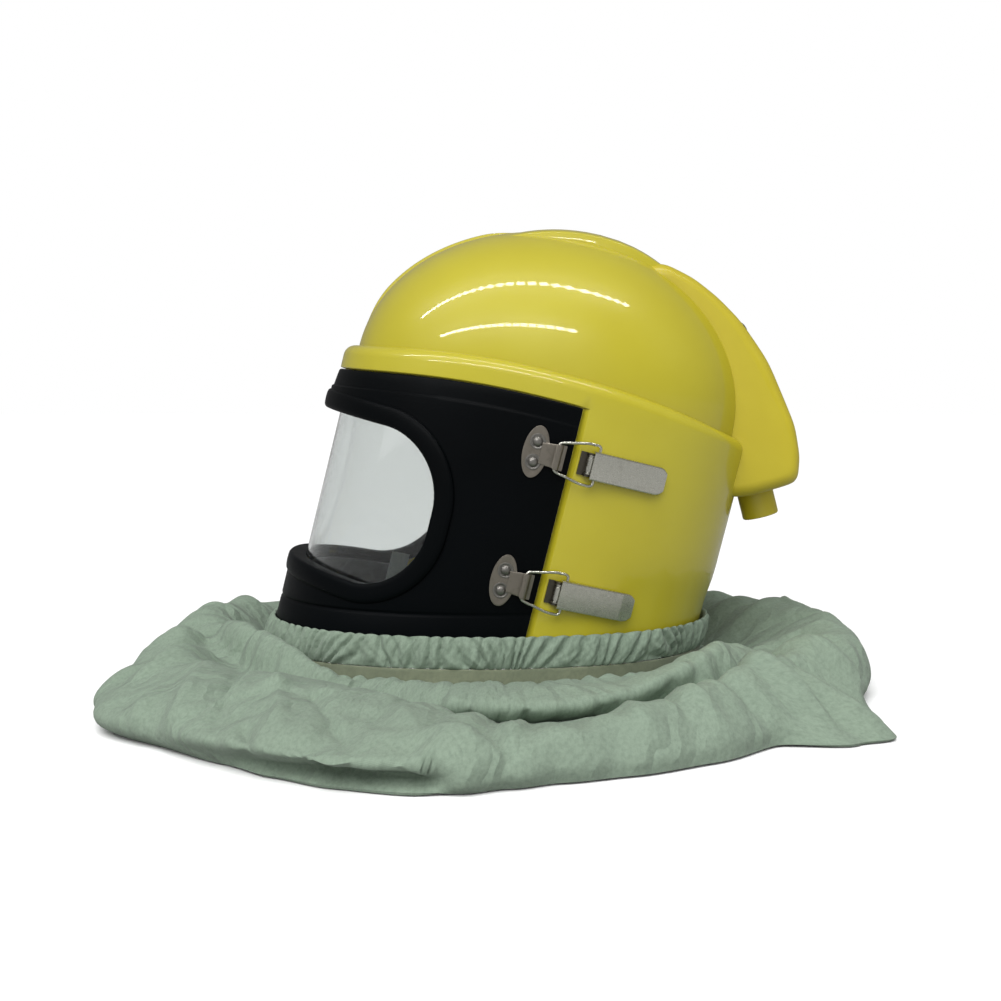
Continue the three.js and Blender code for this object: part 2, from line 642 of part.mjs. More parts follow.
// Cloth in level rings about the tilted helmet
const rimPoint = (s, offset, level, leanLevel = level) => {
  const p = oval.place(s, offset);
  return new THREE.Vector3(p.x, p.y / Math.cos(TILT) + leanLevel * Math.tan(TILT), level);
};
const helmetProud = (s) => {
  const way = Math.min(s, oval.total - s);
  const frame = frameFace + FRAME_PROUD * frameBulge(Math.min(way, FRAME_S));
  return mix(Math.max(0, frame), 0, smooth(FRAME_S - 2, FRAME_S + 12, way));
};
function bandSolid() {
  const stations = Array.from({ length: BAND_GATHERS * 2 }, (_, i) => (i / (BAND_GATHERS * 2)) * oval.total);
  const rings = stations.map((s, i) => {
    const swell = i % 2 === 0 ? 1.5 : -0.8;
    const uneven = 0.5 * Math.sin(i * 1.7);
    const inner = helmetProud(s) + SEAT_GAP + 0.2;
    const outer = inner + BAND_THICK + swell;
    return [
      [inner, -1], [inner + 1.5, 0.6 + uneven], [outer, -BAND_HEIGHT * 0.28],
      [outer, -BAND_HEIGHT * 0.72], [inner + 1.5, -BAND_HEIGHT + 0.4], [inner, -BAND_HEIGHT + 1],
    ].map(([offset, level]) => rimPoint(s, offset, RIM_LEVEL + level, level));
  });
  return ringSolid(rings, { loop: true });
}
const TAPE_TOP = RIM_LEVEL - BAND_HEIGHT - SEAT_GAP;
function tapeSolid() {
  const rings = columns(44).map((s) => {
    const inner = helmetProud(s) + 2;
    return [
      [inner, TAPE_TOP], [inner + TAPE_THICK, TAPE_TOP],
      [inner + TAPE_THICK + 0.6, TAPE_TOP - TAPE_HEIGHT], [inner + 0.6, TAPE_TOP - TAPE_HEIGHT],
    ].map(([offset, level]) => rimPoint(s, offset, level, level - RIM_LEVEL));
  });
  return ringSolid(rings, { loop: true });
}

// Cape: profile of the sheet by azimuth, 0 at the face and 90 on the left side.
// reach is a share of CAPE_REACH, heights are shares of CAPE_RISE, ridgeAt a share of the way out
const CAPE_ROWS = [
  { az: 0, reach: 0.98, gap: 0.5, middle: 0.86, ridgeAt: 0.45, ridge: 0.8, rim: 0.36, lift: 0.02 },
  { az: 22, reach: 0.99, gap: 0.42, middle: 0.74, ridgeAt: 0.45, ridge: 0.7, rim: 0.36, lift: 0.02 },
  { az: 45, reach: 0.98, gap: 0.36, middle: 0.62, ridgeAt: 0.5, ridge: 0.62, rim: 0.42, lift: 0.02 },
  { az: 66, reach: 1, gap: 0.3, middle: 0.5, ridgeAt: 0.6, ridge: 0.54, rim: 0.5, lift: 0.26 },
  { az: 82, reach: 1.06, gap: 0.16, middle: 0.4, ridgeAt: 0.66, ridge: 0.5, rim: 0.5, lift: 0.3 },
  { az: 94, reach: 0.97, gap: 0.02, middle: 0.12, ridgeAt: 0.74, ridge: 0.42, rim: 0.4, lift: 0.02 },
  { az: 112, reach: 0.95, gap: 0.02, middle: 0.2, ridgeAt: 0.66, ridge: 0.56, rim: 0.34, lift: 0.01 },
  { az: 130, reach: 0.94, gap: 0.02, middle: 0.56, ridgeAt: 0.5, ridge: 0.66, rim: 0.26, lift: 0.01 },
  { az: 142, reach: 1.08, gap: 0.1, middle: 0.66, ridgeAt: 0.46, ridge: 0.66, rim: 0.16, lift: 0.01 },
  { az: 160, reach: 0.98, gap: 0.16, middle: 0.34, ridgeAt: 0.56, ridge: 0.86, rim: 0.5, lift: 0.01 },
  { az: 180, reach: 0.97, gap: 0.3, middle: 0.7, ridgeAt: 0.5, ridge: 1, rim: 0.46, lift: 0.02 },
  { az: 205, reach: 0.97, gap: 0.5, middle: 1, ridgeAt: 0.42, ridge: 0.96, rim: 0.36, lift: 0.02 },
  { az: 235, reach: 1, gap: 0.1, middle: 0.7, ridgeAt: 0.45, ridge: 0.8, rim: 0.3, lift: 0.02 },
  { az: 270, reach: 0.98, gap: 0.02, middle: 0.4, ridgeAt: 0.5, ridge: 0.6, rim: 0.3, lift: 0.02 },
  { az: 300, reach: 1.02, gap: 0.1, middle: 0.6, ridgeAt: 0.4, ridge: 0.7, rim: 0.34, lift: 0.02 },
  { az: 330, reach: 0.98, gap: 0.4, middle: 0.9, ridgeAt: 0.4, ridge: 0.84, rim: 0.32, lift: 0.02 },
];
// Folds that run outwards: azimuth at the collar and at the hem, width in degrees, height as a share
const CAPE_FOLDS = [
  { az: 14, turn: 6, width: 5, height: 0.22 },
  { az: 33, turn: -8, width: 6, height: 0.3 },
  { az: 52, turn: 4, width: 4, height: -0.16 },
  { az: 97, turn: -3, width: 3, height: -0.2 },
  { az: 121, turn: 14, width: 6, height: 0.26 },
  { az: 148, turn: 10, width: 5, height: -0.3 },
  { az: 172, turn: -6, width: 6, height: 0.2 },
  { az: 215, turn: 8, width: 6, height: 0.26 },
  { az: 248, turn: -6, width: 6, height: 0.3 },
  { az: 283, turn: 6, width: 6, height: 0.28 },
  { az: 312, turn: -6, width: 6, height: -0.2 },
  { az: 347, turn: 5, width: 5, height: 0.2 },
];
function capeRow(az) {
  const n = CAPE_ROWS.length;
  let i = n - 1;
  while (i > 0 && CAPE_ROWS[i].az > az) i -= 1;
  const a = CAPE_ROWS[i];
  const b = CAPE_ROWS[(i + 1) % n];
  const span = (b.az - a.az + 360) % 360;
  const t = smooth(0, 1, (az - a.az) / span);
  const row = {};
  for (const key of ['reach', 'gap', 'middle', 'ridgeAt', 'ridge', 'rim', 'lift']) row[key] = mix(a[key], b[key], t);
  return row;
}
function foldHeight(az, out) {
  return CAPE_FOLDS.reduce((sum, fold) => {
    const centre = fold.az + fold.turn * out;
    const d = ((az - centre + 540) % 360) - 180;
    return sum + fold.height * CAPE_RISE * Math.exp(-((d / fold.width) ** 2)) * Math.sin(Math.PI * Math.min(1, out * 1.1)) ** 2;
  }, 0);
}
// Middle line of the sheet at one azimuth, from the tape out to the hem
function capeLine(s, index) {
  const collar = rimPoint(s, helmetProud(s) + 2.6, 0, -BAND_HEIGHT - TAPE_HEIGHT);
  const az = ((Math.atan2(collar.x, -collar.y) / RAD) + 360) % 360;
  const row = capeRow(az);
  const dir = new THREE.Vector2(Math.sin(az * RAD), -Math.cos(az * RAD));
  const start = Math.hypot(collar.x, collar.y);
  const reach = row.reach * CAPE_REACH;
  const top = TAPE_TOP - TAPE_HEIGHT - SEAT_GAP;
  const shirr = index % 2 === 0 ? 1 : -1;
  const low = CAPE_CLOTH / 2;
  const share = (v) => Math.max(low, v * CAPE_RISE);
  const way = (f) => mix(start, reach, f);
  const stations = [
    [start + 0.4, top - CAPE_CLOTH / 2],
    [start + 5 + shirr * 1.2, top - 5],
    [start + 8, top - 11],
    [start + 5, Math.min(top - 15, 4)],
    [start + 12, low],
    [way(0.12) + 8, share(row.gap)],
    [way(row.ridgeAt * 0.62), share(row.middle) + foldHeight(az, 0.35)],
    [way(row.ridgeAt), share(row.ridge) + foldHeight(az, 0.55)],
    [way(mix(row.ridgeAt, 0.92, 0.5)), share(mix(row.ridge, row.rim, 0.5)) + foldHeight(az, 0.75)],
    [way(0.93), share(row.rim) + foldHeight(az, 0.9) * 0.5],
    [way(1), share(Math.max(row.rim * 0.45, row.lift))],
    [way(0.985), share(row.lift)],
  ];
  return stations.map(([r, z]) => new THREE.Vector3(dir.x * r, dir.y * r, Math.max(low, z)));
}
function capeSolid() {
  const count = 54;
  const lines = columns(count).map((s, i) => capeLine(s, i));
  const rings = lines.map((line) => {
    const outer = [];
    const inner = [];
    line.forEach((p, j) => {
      const a = line[Math.max(0, j - 1)];
      const b = line[Math.min(line.length - 1, j + 1)];
      const flat = new THREE.Vector2(p.x, p.y).normalize();
      const run = Math.hypot(b.x, b.y) - Math.hypot(a.x, a.y);
      const climb = b.z - a.z;
      const size = Math.hypot(run, climb) || 1;
      const [nr, nz] = [-climb / size, run / size];
      const shift = CAPE_CLOTH / 2;
      const move = (k) => new THREE.Vector3(p.x + flat.x * nr * k, p.y + flat.y * nr * k, Math.max(0, p.z + nz * k));
      outer.push(move(shift));
      inner.unshift(p.z <= shift ? new THREE.Vector3(p.x, p.y, 0) : move(-shift));
    });
    return [...outer, ...inner];
  });
  return ringSolid(rings, { loop: true });
}

// Assembly
const hood = new THREE.Group();
const helmet = new THREE.Group();
helmet.rotation.x = -TILT;
helmet.position.z = RIM_LEVEL;
const upright = new THREE.Group();
upright.position.z = RIM_LEVEL;
hood.add(helmet, upright);

const paint = (color, roughness, metalness = 0) => new THREE.MeshStandardMaterial({ color, roughness, metalness });
function addPiece(parent, name, shape, material) {
  const geometry = shape.isBufferGeometry ? shape : toGeometry(shape);
  const mesh = new THREE.Mesh(geometry, material);
  mesh.name = name;
  parent.add(mesh);
  return mesh;
}

addPiece(helmet, 'shell', shellSolid(), paint(0xd8cf3c, 0.25));
addPiece(helmet, 'visor_frame', frameSolid(), paint(0x101216, 0.5));
const lens = addPiece(helmet, 'visor_lens', lensSolid(), paint(0xe8eef0, 0.05));
lens.material.transparent = true;
lens.material.opacity = 0.3;
addPiece(helmet, 'chin_liner', linerSolid(), paint(0x3a3d40, 0.9));
addPiece(helmet, 'chin_strap', strapSolid(), paint(0x8a9091, 0.85));

const keepOut = turnedX(shellOuter().add(crestSolid()), -TILT);
const grown = 1 + (2 * SEAT_GAP) / (2 * OVAL_HALF_WIDTH);
const keepOutGrown = toSolid(toGeometry(keepOut).scale(grown, grown, grown));
addPiece(upright, 'air_housing', housingSolid(keepOutGrown), paint(0xd2c936, 0.45));
addPiece(upright, 'air_pipe', pipeSolid(PIPE_DIAMETER / 2, PIPE_BORE / 2, PIPE_LENGTH, 5), paint(0xd2c936, 0.5));
addPiece(upright, 'housing_bolt', boltSolid(), paint(0x8a8a80, 0.4, 0.8));

// Latches: a frame on the wall, x forwards along it and y outwards
function wallFrame(side, y, z, offset) {
  const s = oval.sAtY(y);
  const p = oval.place(s, offset);
  const out = new THREE.Vector3(p.nx * side, p.ny, 0);
  const forward = new THREE.Vector3(p.ny * side, -p.nx, 0);
  const pin = new THREE.Vector3().crossVectors(forward, out);
  const matrix = new THREE.Matrix4().makeBasis(forward, out, pin);
  matrix.setPosition(p.x * side, p.y, z);
  return matrix;
}
const steel = () => paint(0x9a9888, 0.35, 0.9);
for (const [sideName, side] of [['left', 1], ['right', -1]]) {
  for (const [levelName, z] of [['upper', LATCH_UPPER], ['lower', LATCH_LOWER]]) {
    const tag = `${sideName}_${levelName}`;
    const latch = wallFrame(side, PIVOT_REAR, z, 0);
    const plate = wallFrame(side, -2, z, helmetProud(oval.sAtY(-2)));
    const place = (parent, name, shape, matrix) => {
      const mesh = addPiece(parent, name, shape, steel());
      mesh.applyMatrix4(matrix);
      return mesh;
    };
    const hook = new THREE.Vector3(BAIL_FRONT_X, HOOK_Y, 0).applyMatrix4(latch);
    hook.applyMatrix4(plate.clone().invert());
    place(helmet, `catch_plate_${tag}`, catchSolid(hook.x, hook.y), plate);
    for (const [rivetName, shift] of [['a', 1], ['b', -1]]) {
      const rivet = place(helmet, `catch_rivet_${tag}_${rivetName}`, rivetSolid(), plate);
      rivet.translateZ((shift * RIVET_PITCH) / 2);
    }
    place(helmet, `latch_base_${tag}`, baseSolid(), latch);
    place(helmet, `lever_${tag}`, leverSolid(), latch);
    place(helmet, `bail_${tag}`, bailGeometry(), latch);
  }
}

addPiece(hood, 'elastic_band', bandSolid(), paint(0x8aa08c, 0.9));
addPiece(hood, 'binding_tape', tapeSolid(), paint(0x7d8a70, 0.8));
addPiece(hood, 'cape', capeSolid(), paint(0x8aa08c, 0.9));

// The origin is the middle of the whole part's footprint, on the floor
hood.updateMatrixWorld(true);
const box = new THREE.Box3().setFromObject(hood, true);
hood.position.set(-(box.min.x + box.max.x) / 2, -(box.min.y + box.max.y) / 2, -box.min.z);
hood.updateMatrixWorld(true);

export default hood;
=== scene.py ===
import math

import bpy
import numpy as np
from mathutils import Matrix, Vector


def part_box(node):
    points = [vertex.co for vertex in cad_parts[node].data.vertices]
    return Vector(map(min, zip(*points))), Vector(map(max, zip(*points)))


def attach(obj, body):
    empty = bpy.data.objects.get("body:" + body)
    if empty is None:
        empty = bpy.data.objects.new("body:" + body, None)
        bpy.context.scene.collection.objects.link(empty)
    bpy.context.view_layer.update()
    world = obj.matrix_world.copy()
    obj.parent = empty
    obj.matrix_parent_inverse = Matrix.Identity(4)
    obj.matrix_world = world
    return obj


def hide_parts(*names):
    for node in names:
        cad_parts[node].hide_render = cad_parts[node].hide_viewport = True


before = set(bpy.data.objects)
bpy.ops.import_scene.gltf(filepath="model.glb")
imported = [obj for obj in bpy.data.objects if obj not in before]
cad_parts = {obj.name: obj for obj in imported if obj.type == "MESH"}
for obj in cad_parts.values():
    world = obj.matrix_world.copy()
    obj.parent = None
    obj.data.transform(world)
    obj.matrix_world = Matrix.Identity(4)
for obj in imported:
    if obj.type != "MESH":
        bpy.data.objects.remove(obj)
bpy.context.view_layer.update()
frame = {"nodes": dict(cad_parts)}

bl_info = {
    "name": "Sandblasting hood",
    "version": (1, 0, 0),
    "blender": (4, 5, 0),
    "location": "View3D > Sidebar > Hood",
    "description": "Dresses the sandblasting hood: moulded shell, visor, draw latches and gathered cloth cape",
    "category": "Object",
}

MM = 0.001
RAD = math.pi / 180

# Helmet sizes, the same as the solids have, in millimetres
TILT = 14 * RAD
RIM_LEVEL = 55.0
HALF_LENGTH, HALF_WIDTH, POWER = 160.0, 125.0, 2.2
WALL = 3.0
RIM_TUCK = 20.0
BROW_HEIGHT, BROW_RISE, BROW_LEDGE, BROW_ROUND = 176.0, 15.0, 10.0, 9.0
DOME_HEIGHT, DOME_SHIFT = 123.0, 8.0
CREST_WIDTH, CREST_LENGTH, CREST_RISE = 84.0, 172.0, 4.0
KEEL_RISE = 2.5
FRAME_TOP, FRAME_REAR, FRAME_THICK, FRAME_PROUD = 156.0, 23.0, 4.2, 3.2
POCKET = 4.0
WINDOW_TOP, WINDOW_HEIGHT, WINDOW_REAR, WINDOW_RADIUS = 125.0, 114.0, 61.0, 50.0
LIP_DEPTH, LENS_THICK, LENS_LAP = 7.4, 1.8, 5.0
SEAT = 0.3
PIVOT_REAR, PIVOT_UP, BAIL_BACK = 36.0, 5.5, 5.0
HOOK_UP, BAIL_LENGTH = 4.2, 29.0
LEVER_HALF, LEVER_DEEP, LEVER_LENGTH = 10.0, 6.4, 47.0
PLATE_AT, RIVET_APART = -2.0, 14.5
LATCH_HEIGHTS = (("upper", 134.0), ("lower", 41.5))
BAND_HEIGHT, TAPE_HEIGHT = 22.0, 11.5

# The hood stands off the origin by this much, because the cape is uneven
SHELL_LOW, SHELL_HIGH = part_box("shell")
SHIFT_X = (SHELL_LOW[0] + SHELL_HIGH[0]) / 2 / MM
SHIFT_Y = 1.543


def smooth(lo, hi, v):
    t = np.clip((np.asarray(v, float) - lo) / (hi - lo), 0, 1)
    return t * t * (3 - 2 * t)


def mix(a, b, t):
    return a + (b - a) * t


def to_hood(x, y, z):
    """Level millimetres about the middle of the rim, as metres in the frame. z is above the floor."""
    x, y, z = np.broadcast_arrays(x, y, z)
    return np.stack([(x + SHIFT_X) * MM, (y + SHIFT_Y) * MM, z * MM], -1)


def to_helmet(x, y, z):
    """Millimetres in the helmet's tilted frame, as metres in the frame."""
    c, s = math.cos(TILT), math.sin(TILT)
    return to_hood(x, y * c + z * s, -y * s + z * c + RIM_LEVEL)


# The lower wall is an upright oval. Places on it go by s, the way round from the face
ANGLES = np.linspace(0, 2 * math.pi, 2881)
OVAL_X = HALF_WIDTH * np.sign(np.sin(ANGLES)) * np.abs(np.sin(ANGLES)) ** (2 / POWER)
OVAL_Y = -HALF_LENGTH * np.sign(np.cos(ANGLES)) * np.abs(np.cos(ANGLES)) ** (2 / POWER)
OVAL_S = np.concatenate([[0], np.cumsum(np.hypot(np.diff(OVAL_X), np.diff(OVAL_Y)))])
ROUND = OVAL_S[-1]


def oval(s, offset=0.0):
    w = np.mod(s, ROUND)
    x, y = np.interp(w, OVAL_S, OVAL_X), np.interp(w, OVAL_S, OVAL_Y)
    nx = np.sign(x) * np.abs(x / HALF_WIDTH) ** (POWER - 1) / HALF_WIDTH
    ny = np.sign(y) * np.abs(y / HALF_LENGTH) ** (POWER - 1) / HALF_LENGTH
    size = np.hypot(nx, ny)
    return x + nx / size * offset, y + ny / size * offset, nx / size, ny / size


def s_at(y):
    half = len(OVAL_Y) // 2 + 1
    return float(np.interp(y, OVAL_Y[:half], OVAL_S[:half]))


def wall(s, z, offset=0.0):
    x, y, _, _ = oval(s, offset)
    return to_helmet(x, y, z)


def level_z(s, level):
    return (level + oval(s)[1] * math.sin(TILT)) / math.cos(TILT)


def side_rise(s):
    return BROW_RISE * np.abs(oval(s)[0] / HALF_WIDTH) ** 3


def way(s):
    w = np.mod(s, ROUND)
    return np.minimum(w, ROUND - w)


FRAME_S = s_at(FRAME_REAR)
WINDOW_S = s_at(-WINDOW_REAR)
FRAME_FACE = -POCKET + SEAT + FRAME_THICK


def brow_z(s):
    return BROW_HEIGHT + side_rise(s)


def frame_top(s):
    return FRAME_TOP + side_rise(s)


def bulge(s):
    return mix(1, 0.28, smooth(0.35 * FRAME_S, FRAME_S, way(s)))


def helmet_proud(s):
    w = way(s)
    face = FRAME_FACE + FRAME_PROUD * bulge(np.minimum(w, FRAME_S))
    return mix(np.maximum(0, face), 0, smooth(FRAME_S - 2, FRAME_S + 12, w))


# Working in Blender
def nothing_selected():
    if bpy.context.object and bpy.context.object.mode != "OBJECT":
        bpy.ops.object.mode_set(mode="OBJECT")
    bpy.ops.object.select_all(action="DESELECT")


def only(obj):
    nothing_selected()
    obj.select_set(True)
    bpy.context.view_layer.objects.active = obj


def in_edit(obj, *steps):
    only(obj)
    bpy.ops.object.mode_set(mode="EDIT")
    bpy.ops.mesh.select_all(action="SELECT")
    for step in steps:
        step()
    bpy.ops.object.mode_set(mode="OBJECT")


def merged():
    bpy.ops.mesh.remove_doubles(threshold=0.000004)


def outwards():
    bpy.ops.mesh.normals_make_consistent(inside=False)


def filled():
    bpy.ops.mesh.fill_holes(sides=0)


def turned_over():
    bpy.ops.mesh.flip_normals()


def modified(obj, kind, **settings):
    only(obj)
    mod = obj.modifiers.new(kind.title(), kind)
    for key, value in settings.items():
        setattr(mod, key, value)
    bpy.ops.object.modifier_apply(modifier=mod.name)


def spread_sheet(name, table, size=(1.0, 1.0), up=None, closed=False):
    """A grid of faces laid on a table of places; its UV map is in metres of cloth. up is the side it faces."""
    nu, nv = table.shape[0] - 1, table.shape[1] - 1
    nothing_selected()
    bpy.ops.mesh.primitive_grid_add(x_subdivisions=nu, y_subdivisions=nv, size=2)
    obj = bpy.context.active_object
    obj.name = obj.data.name = name
    mesh = obj.data
    at = np.empty(len(mesh.vertices) * 3)
    mesh.vertices.foreach_get("co", at)
    at = at.reshape(-1, 3)
    iu = np.rint((at[:, 0] + 1) / 2 * nu).astype(int)
    iv = np.rint((at[:, 1] + 1) / 2 * nv).astype(int)
    mesh.vertices.foreach_set("co", table[iu, iv].ravel())
    loops = np.empty(len(mesh.loops), int)
    mesh.loops.foreach_get("vertex_index", loops)
    uv = np.stack([iu[loops] / nu * size[0], iv[loops] / nv * size[1]], -1)
    mesh.uv_layers.active.data.foreach_set("uv", uv.ravel())
    mesh.update()
    in_edit(obj, merged, *([outwards] if closed else []))
    if up is not None:
        lean = sum((f.normal.dot(up(f.center)) * f.area for f in obj.data.polygons), 0.0)
        if lean < 0:
            in_edit(obj, turned_over)
    return obj


def away_from(x, y, z):
    """A rule for spread_sheet's up: outwards from a place in mm."""
    middle = Vector((x, y, z)) * MM
    return lambda place: (place - middle).normalized()


def rounded_edges(obj, width):
    modified(obj, "BEVEL", width=width * MM, segments=2, limit_method="ANGLE", angle_limit=50 * RAD)


def smooth_faces(obj, angle):
    only(obj)
    bpy.ops.object.shade_smooth_by_angle(angle=angle * RAD)


def joined(name, *objs):
    only(objs[0])
    for obj in objs[1:]:
        obj.select_set(True)
    bpy.ops.object.join()
    out = bpy.context.active_object
    out.name = out.data.name = name
    return out


def cut(obj, cutter):
    """Takes the cutter's form out of a piece and removes the cutter."""
    modified(obj, "BOOLEAN", operation="DIFFERENCE", object=cutter, solver="EXACT")
    nothing_selected()
    cutter.select_set(True)
    bpy.ops.object.delete()


def dressed(obj, angle, material, slot, body, *nodes):
    """Smooths a finished piece up to an angle, gives it its material and body, and hides the nodes it replaces. The
    slot argument is not used.
    """
    smooth_faces(obj, angle)
    obj.data.materials.clear()
    obj.data.materials.append(material)
    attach(obj, body)
    if nodes:
        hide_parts(*nodes)
    return obj


def curve_through(points, count, closed=False):
    """Even places on a smooth curve through points, an array of any width."""
    p = np.asarray(points, float)
    if closed:
        p = np.vstack([p[-1:], p, p[:2]])
    else:
        p = np.vstack([2 * p[0] - p[1], p, 2 * p[-1] - p[-2]])
    fine = []
    for i in range(1, len(p) - 2):
        t = np.linspace(0, 1, 12, endpoint=False)[:, None]
        a, b, c, d = p[i - 1], p[i], p[i + 1], p[i + 2]
        fine.append(0.5 * (2 * b + (c - a) * t + (2 * a - 5 * b + 4 * c - d) * t**2 + (3 * b - a - 3 * c + d) * t**3))
    fine.append(p[-2][None])
    line = np.vstack(fine)
    run = np.concatenate([[0], np.cumsum(np.linalg.norm(np.diff(line, axis=0), axis=1))])
    at = np.linspace(0, run[-1], count)
    return np.stack([np.interp(at, run, line[:, k]) for k in range(p.shape[1])], -1)


def tube(name, points, radius, sides):
    """A round wire along a list of places in metres, closed at both ends."""
    p = np.asarray(points, float)
    run = np.gradient(p, axis=0)
    run /= np.linalg.norm(run, axis=1)[:, None]
    normal = np.array([0.0, 0.0, 1.0]) if abs(run[0][2]) < 0.9 else np.array([1.0, 0.0, 0.0])
    rings = []
    turn = np.linspace(0, 2 * math.pi, sides + 1)
    for i in range(len(p)):
        normal = normal - run[i] * normal.dot(run[i])
        normal /= np.linalg.norm(normal)
        side = np.cross(run[i], normal)
        rings.append(p[i] + radius * (np.cos(turn)[:, None] * normal + np.sin(turn)[:, None] * side))
    first, last = np.repeat(p[:1], sides + 1, 0), np.repeat(p[-1:], sides + 1, 0)
    table = np.stack([first, *rings, last])
    return spread_sheet(name, table, closed=True)


def turned(name, profile, place, sides=32):
    """A turned form: profile is (radius, height) pairs in mm, place is its matrix, height along z."""
    r, h = np.array(profile, float).T
    turn = np.linspace(0, 2 * math.pi, sides + 1)
    x = np.cos(turn)[:, None] * r
    y = np.sin(turn)[:, None] * r
    local = np.stack([x, y, np.broadcast_to(h, x.shape), np.ones_like(x)], -1) * [MM, MM, MM, 1]
    table = (local @ np.array(place).T)[..., :3]
    return spread_sheet(name, table, closed=True)


# Finishes
def finish(name, colour, rough, metal=0.0, **sockets):
    mat = bpy.data.materials.new(name)
    mat.use_nodes = True
    shader = mat.node_tree.nodes["Principled BSDF"]
    shader.inputs["Base Color"].default_value = (*colour, 1)
    shader.inputs["Roughness"].default_value = rough
    shader.inputs["Metallic"].default_value = metal
    for key, value in sockets.items():
        shader.inputs[key.replace("_", " ")].default_value = value
    mat.diffuse_color = (*colour, 1)
    return mat, mat.node_tree, shader


def node(tree, kind, **values):
    made = tree.nodes.new(kind)
    for key, value in values.items():
        if hasattr(made, key):
            setattr(made, key, value)
        else:
            made.inputs[key.replace("_", " ")].default_value = value
    return made


def noise(tree, source, scale, detail=3.0, rough=0.5, stretch=None):
    made = node(tree, "ShaderNodeTexNoise", Scale=scale, Detail=detail, Roughness=rough)
    if stretch:
        mapping = node(tree, "ShaderNodeMapping")
        mapping.inputs["Scale"].default_value = stretch
        tree.links.new(source, mapping.inputs["Vector"])
        source = mapping.outputs["Vector"]
    tree.links.new(source, made.inputs["Vector"])
    return made.outputs["Fac"]


def ranged(tree, value, low, high, to_low, to_high):
    made = node(tree, "ShaderNodeMapRange", From_Min=low, From_Max=high, To_Min=to_low, To_Max=to_high)
    tree.links.new(value, made.inputs["Value"])
    return made.outputs["Result"]


def blended(tree, amount, first, second):
    made = node(tree, "ShaderNodeMix", data_type="RGBA")
    tree.links.new(amount, made.inputs["Factor"])
    for socket, value in (("A", first), ("B", second)):
        slot = next(i for i in made.inputs if i.name == socket and i.type == "RGBA")
        if hasattr(value, "links"):
            tree.links.new(value, slot)
        else:
            slot.default_value = (*value, 1)
    return next(o for o in made.outputs if o.type == "RGBA")


def bumped(tree, shader, height, strength, distance, under=None):
    made = node(tree, "ShaderNodeBump", Strength=strength, Distance=distance)
    tree.links.new(height, made.inputs["Height"])
    if under is not None:
        tree.links.new(under, made.inputs["Normal"])
    tree.links.new(made.outputs["Normal"], shader.inputs["Normal"])
    return made.outputs["Normal"]


def places(tree, kind="Object"):
    return node(tree, "ShaderNodeTexCoord").outputs[kind]


def seen_straight(tree):
    """1 for what the camera sees directly or through the lens."""
    rays = node(tree, "ShaderNodeLightPath")
    either = node(tree, "ShaderNodeMath", operation="MAXIMUM")
    tree.links.new(rays.outputs["Is Camera Ray"], either.inputs[0])
    tree.links.new(rays.outputs["Is Transmission Ray"], either.inputs[1])
    return either.outputs[0]


def moulded(name, colour, deep, rough, scuffed, orange_peel, coat=0.0, shine=0.5):
    """Moulded plastic: a little cloud in the colour, uneven gloss, fine scratches and orange peel."""
    mat, tree, shader = finish(
        name, colour, rough, Coat_Weight=coat, Coat_Roughness=0.035, Specular_IOR_Level=shine)
    at = places(tree)
    cloud = noise(tree, at, 9, 4)
    tree.links.new(blended(tree, ranged(tree, cloud, 0.35, 0.65, 0, 1), deep, colour), shader.inputs["Base Color"])
    haze = noise(tree, at, 26, 6, 0.65)
    tree.links.new(ranged(tree, haze, 0.35, 0.75, rough, scuffed), shader.inputs["Roughness"])
    peel = bumped(tree, shader, noise(tree, at, 420, 2), orange_peel, 0.0004)
    bumped(tree, shader, noise(tree, at, 30, 8, 0.7, stretch=(1, 6, 22)), orange_peel * 0.35, 0.0003, under=peel)
    return mat


def brushed(name, colour, dark, rough):
    """Pressed steel: rolling lines, small stains and worn, uneven shine."""
    mat, tree, shader = finish(name, colour, rough, 1.0)
    at = places(tree)
    stains = noise(tree, at, 160, 5, 0.6)
    tree.links.new(blended(tree, ranged(tree, stains, 0.55, 0.8, 0, 0.7), colour, dark), shader.inputs["Base Color"])
    lines = noise(tree, at, 130, 3, 0.6, stretch=(1, 4, 60))
    tree.links.new(ranged(tree, lines, 0.3, 0.7, rough * 0.75, rough * 1.45), shader.inputs["Roughness"])
    bumped(tree, shader, lines, 0.12, 0.0002)
    return mat


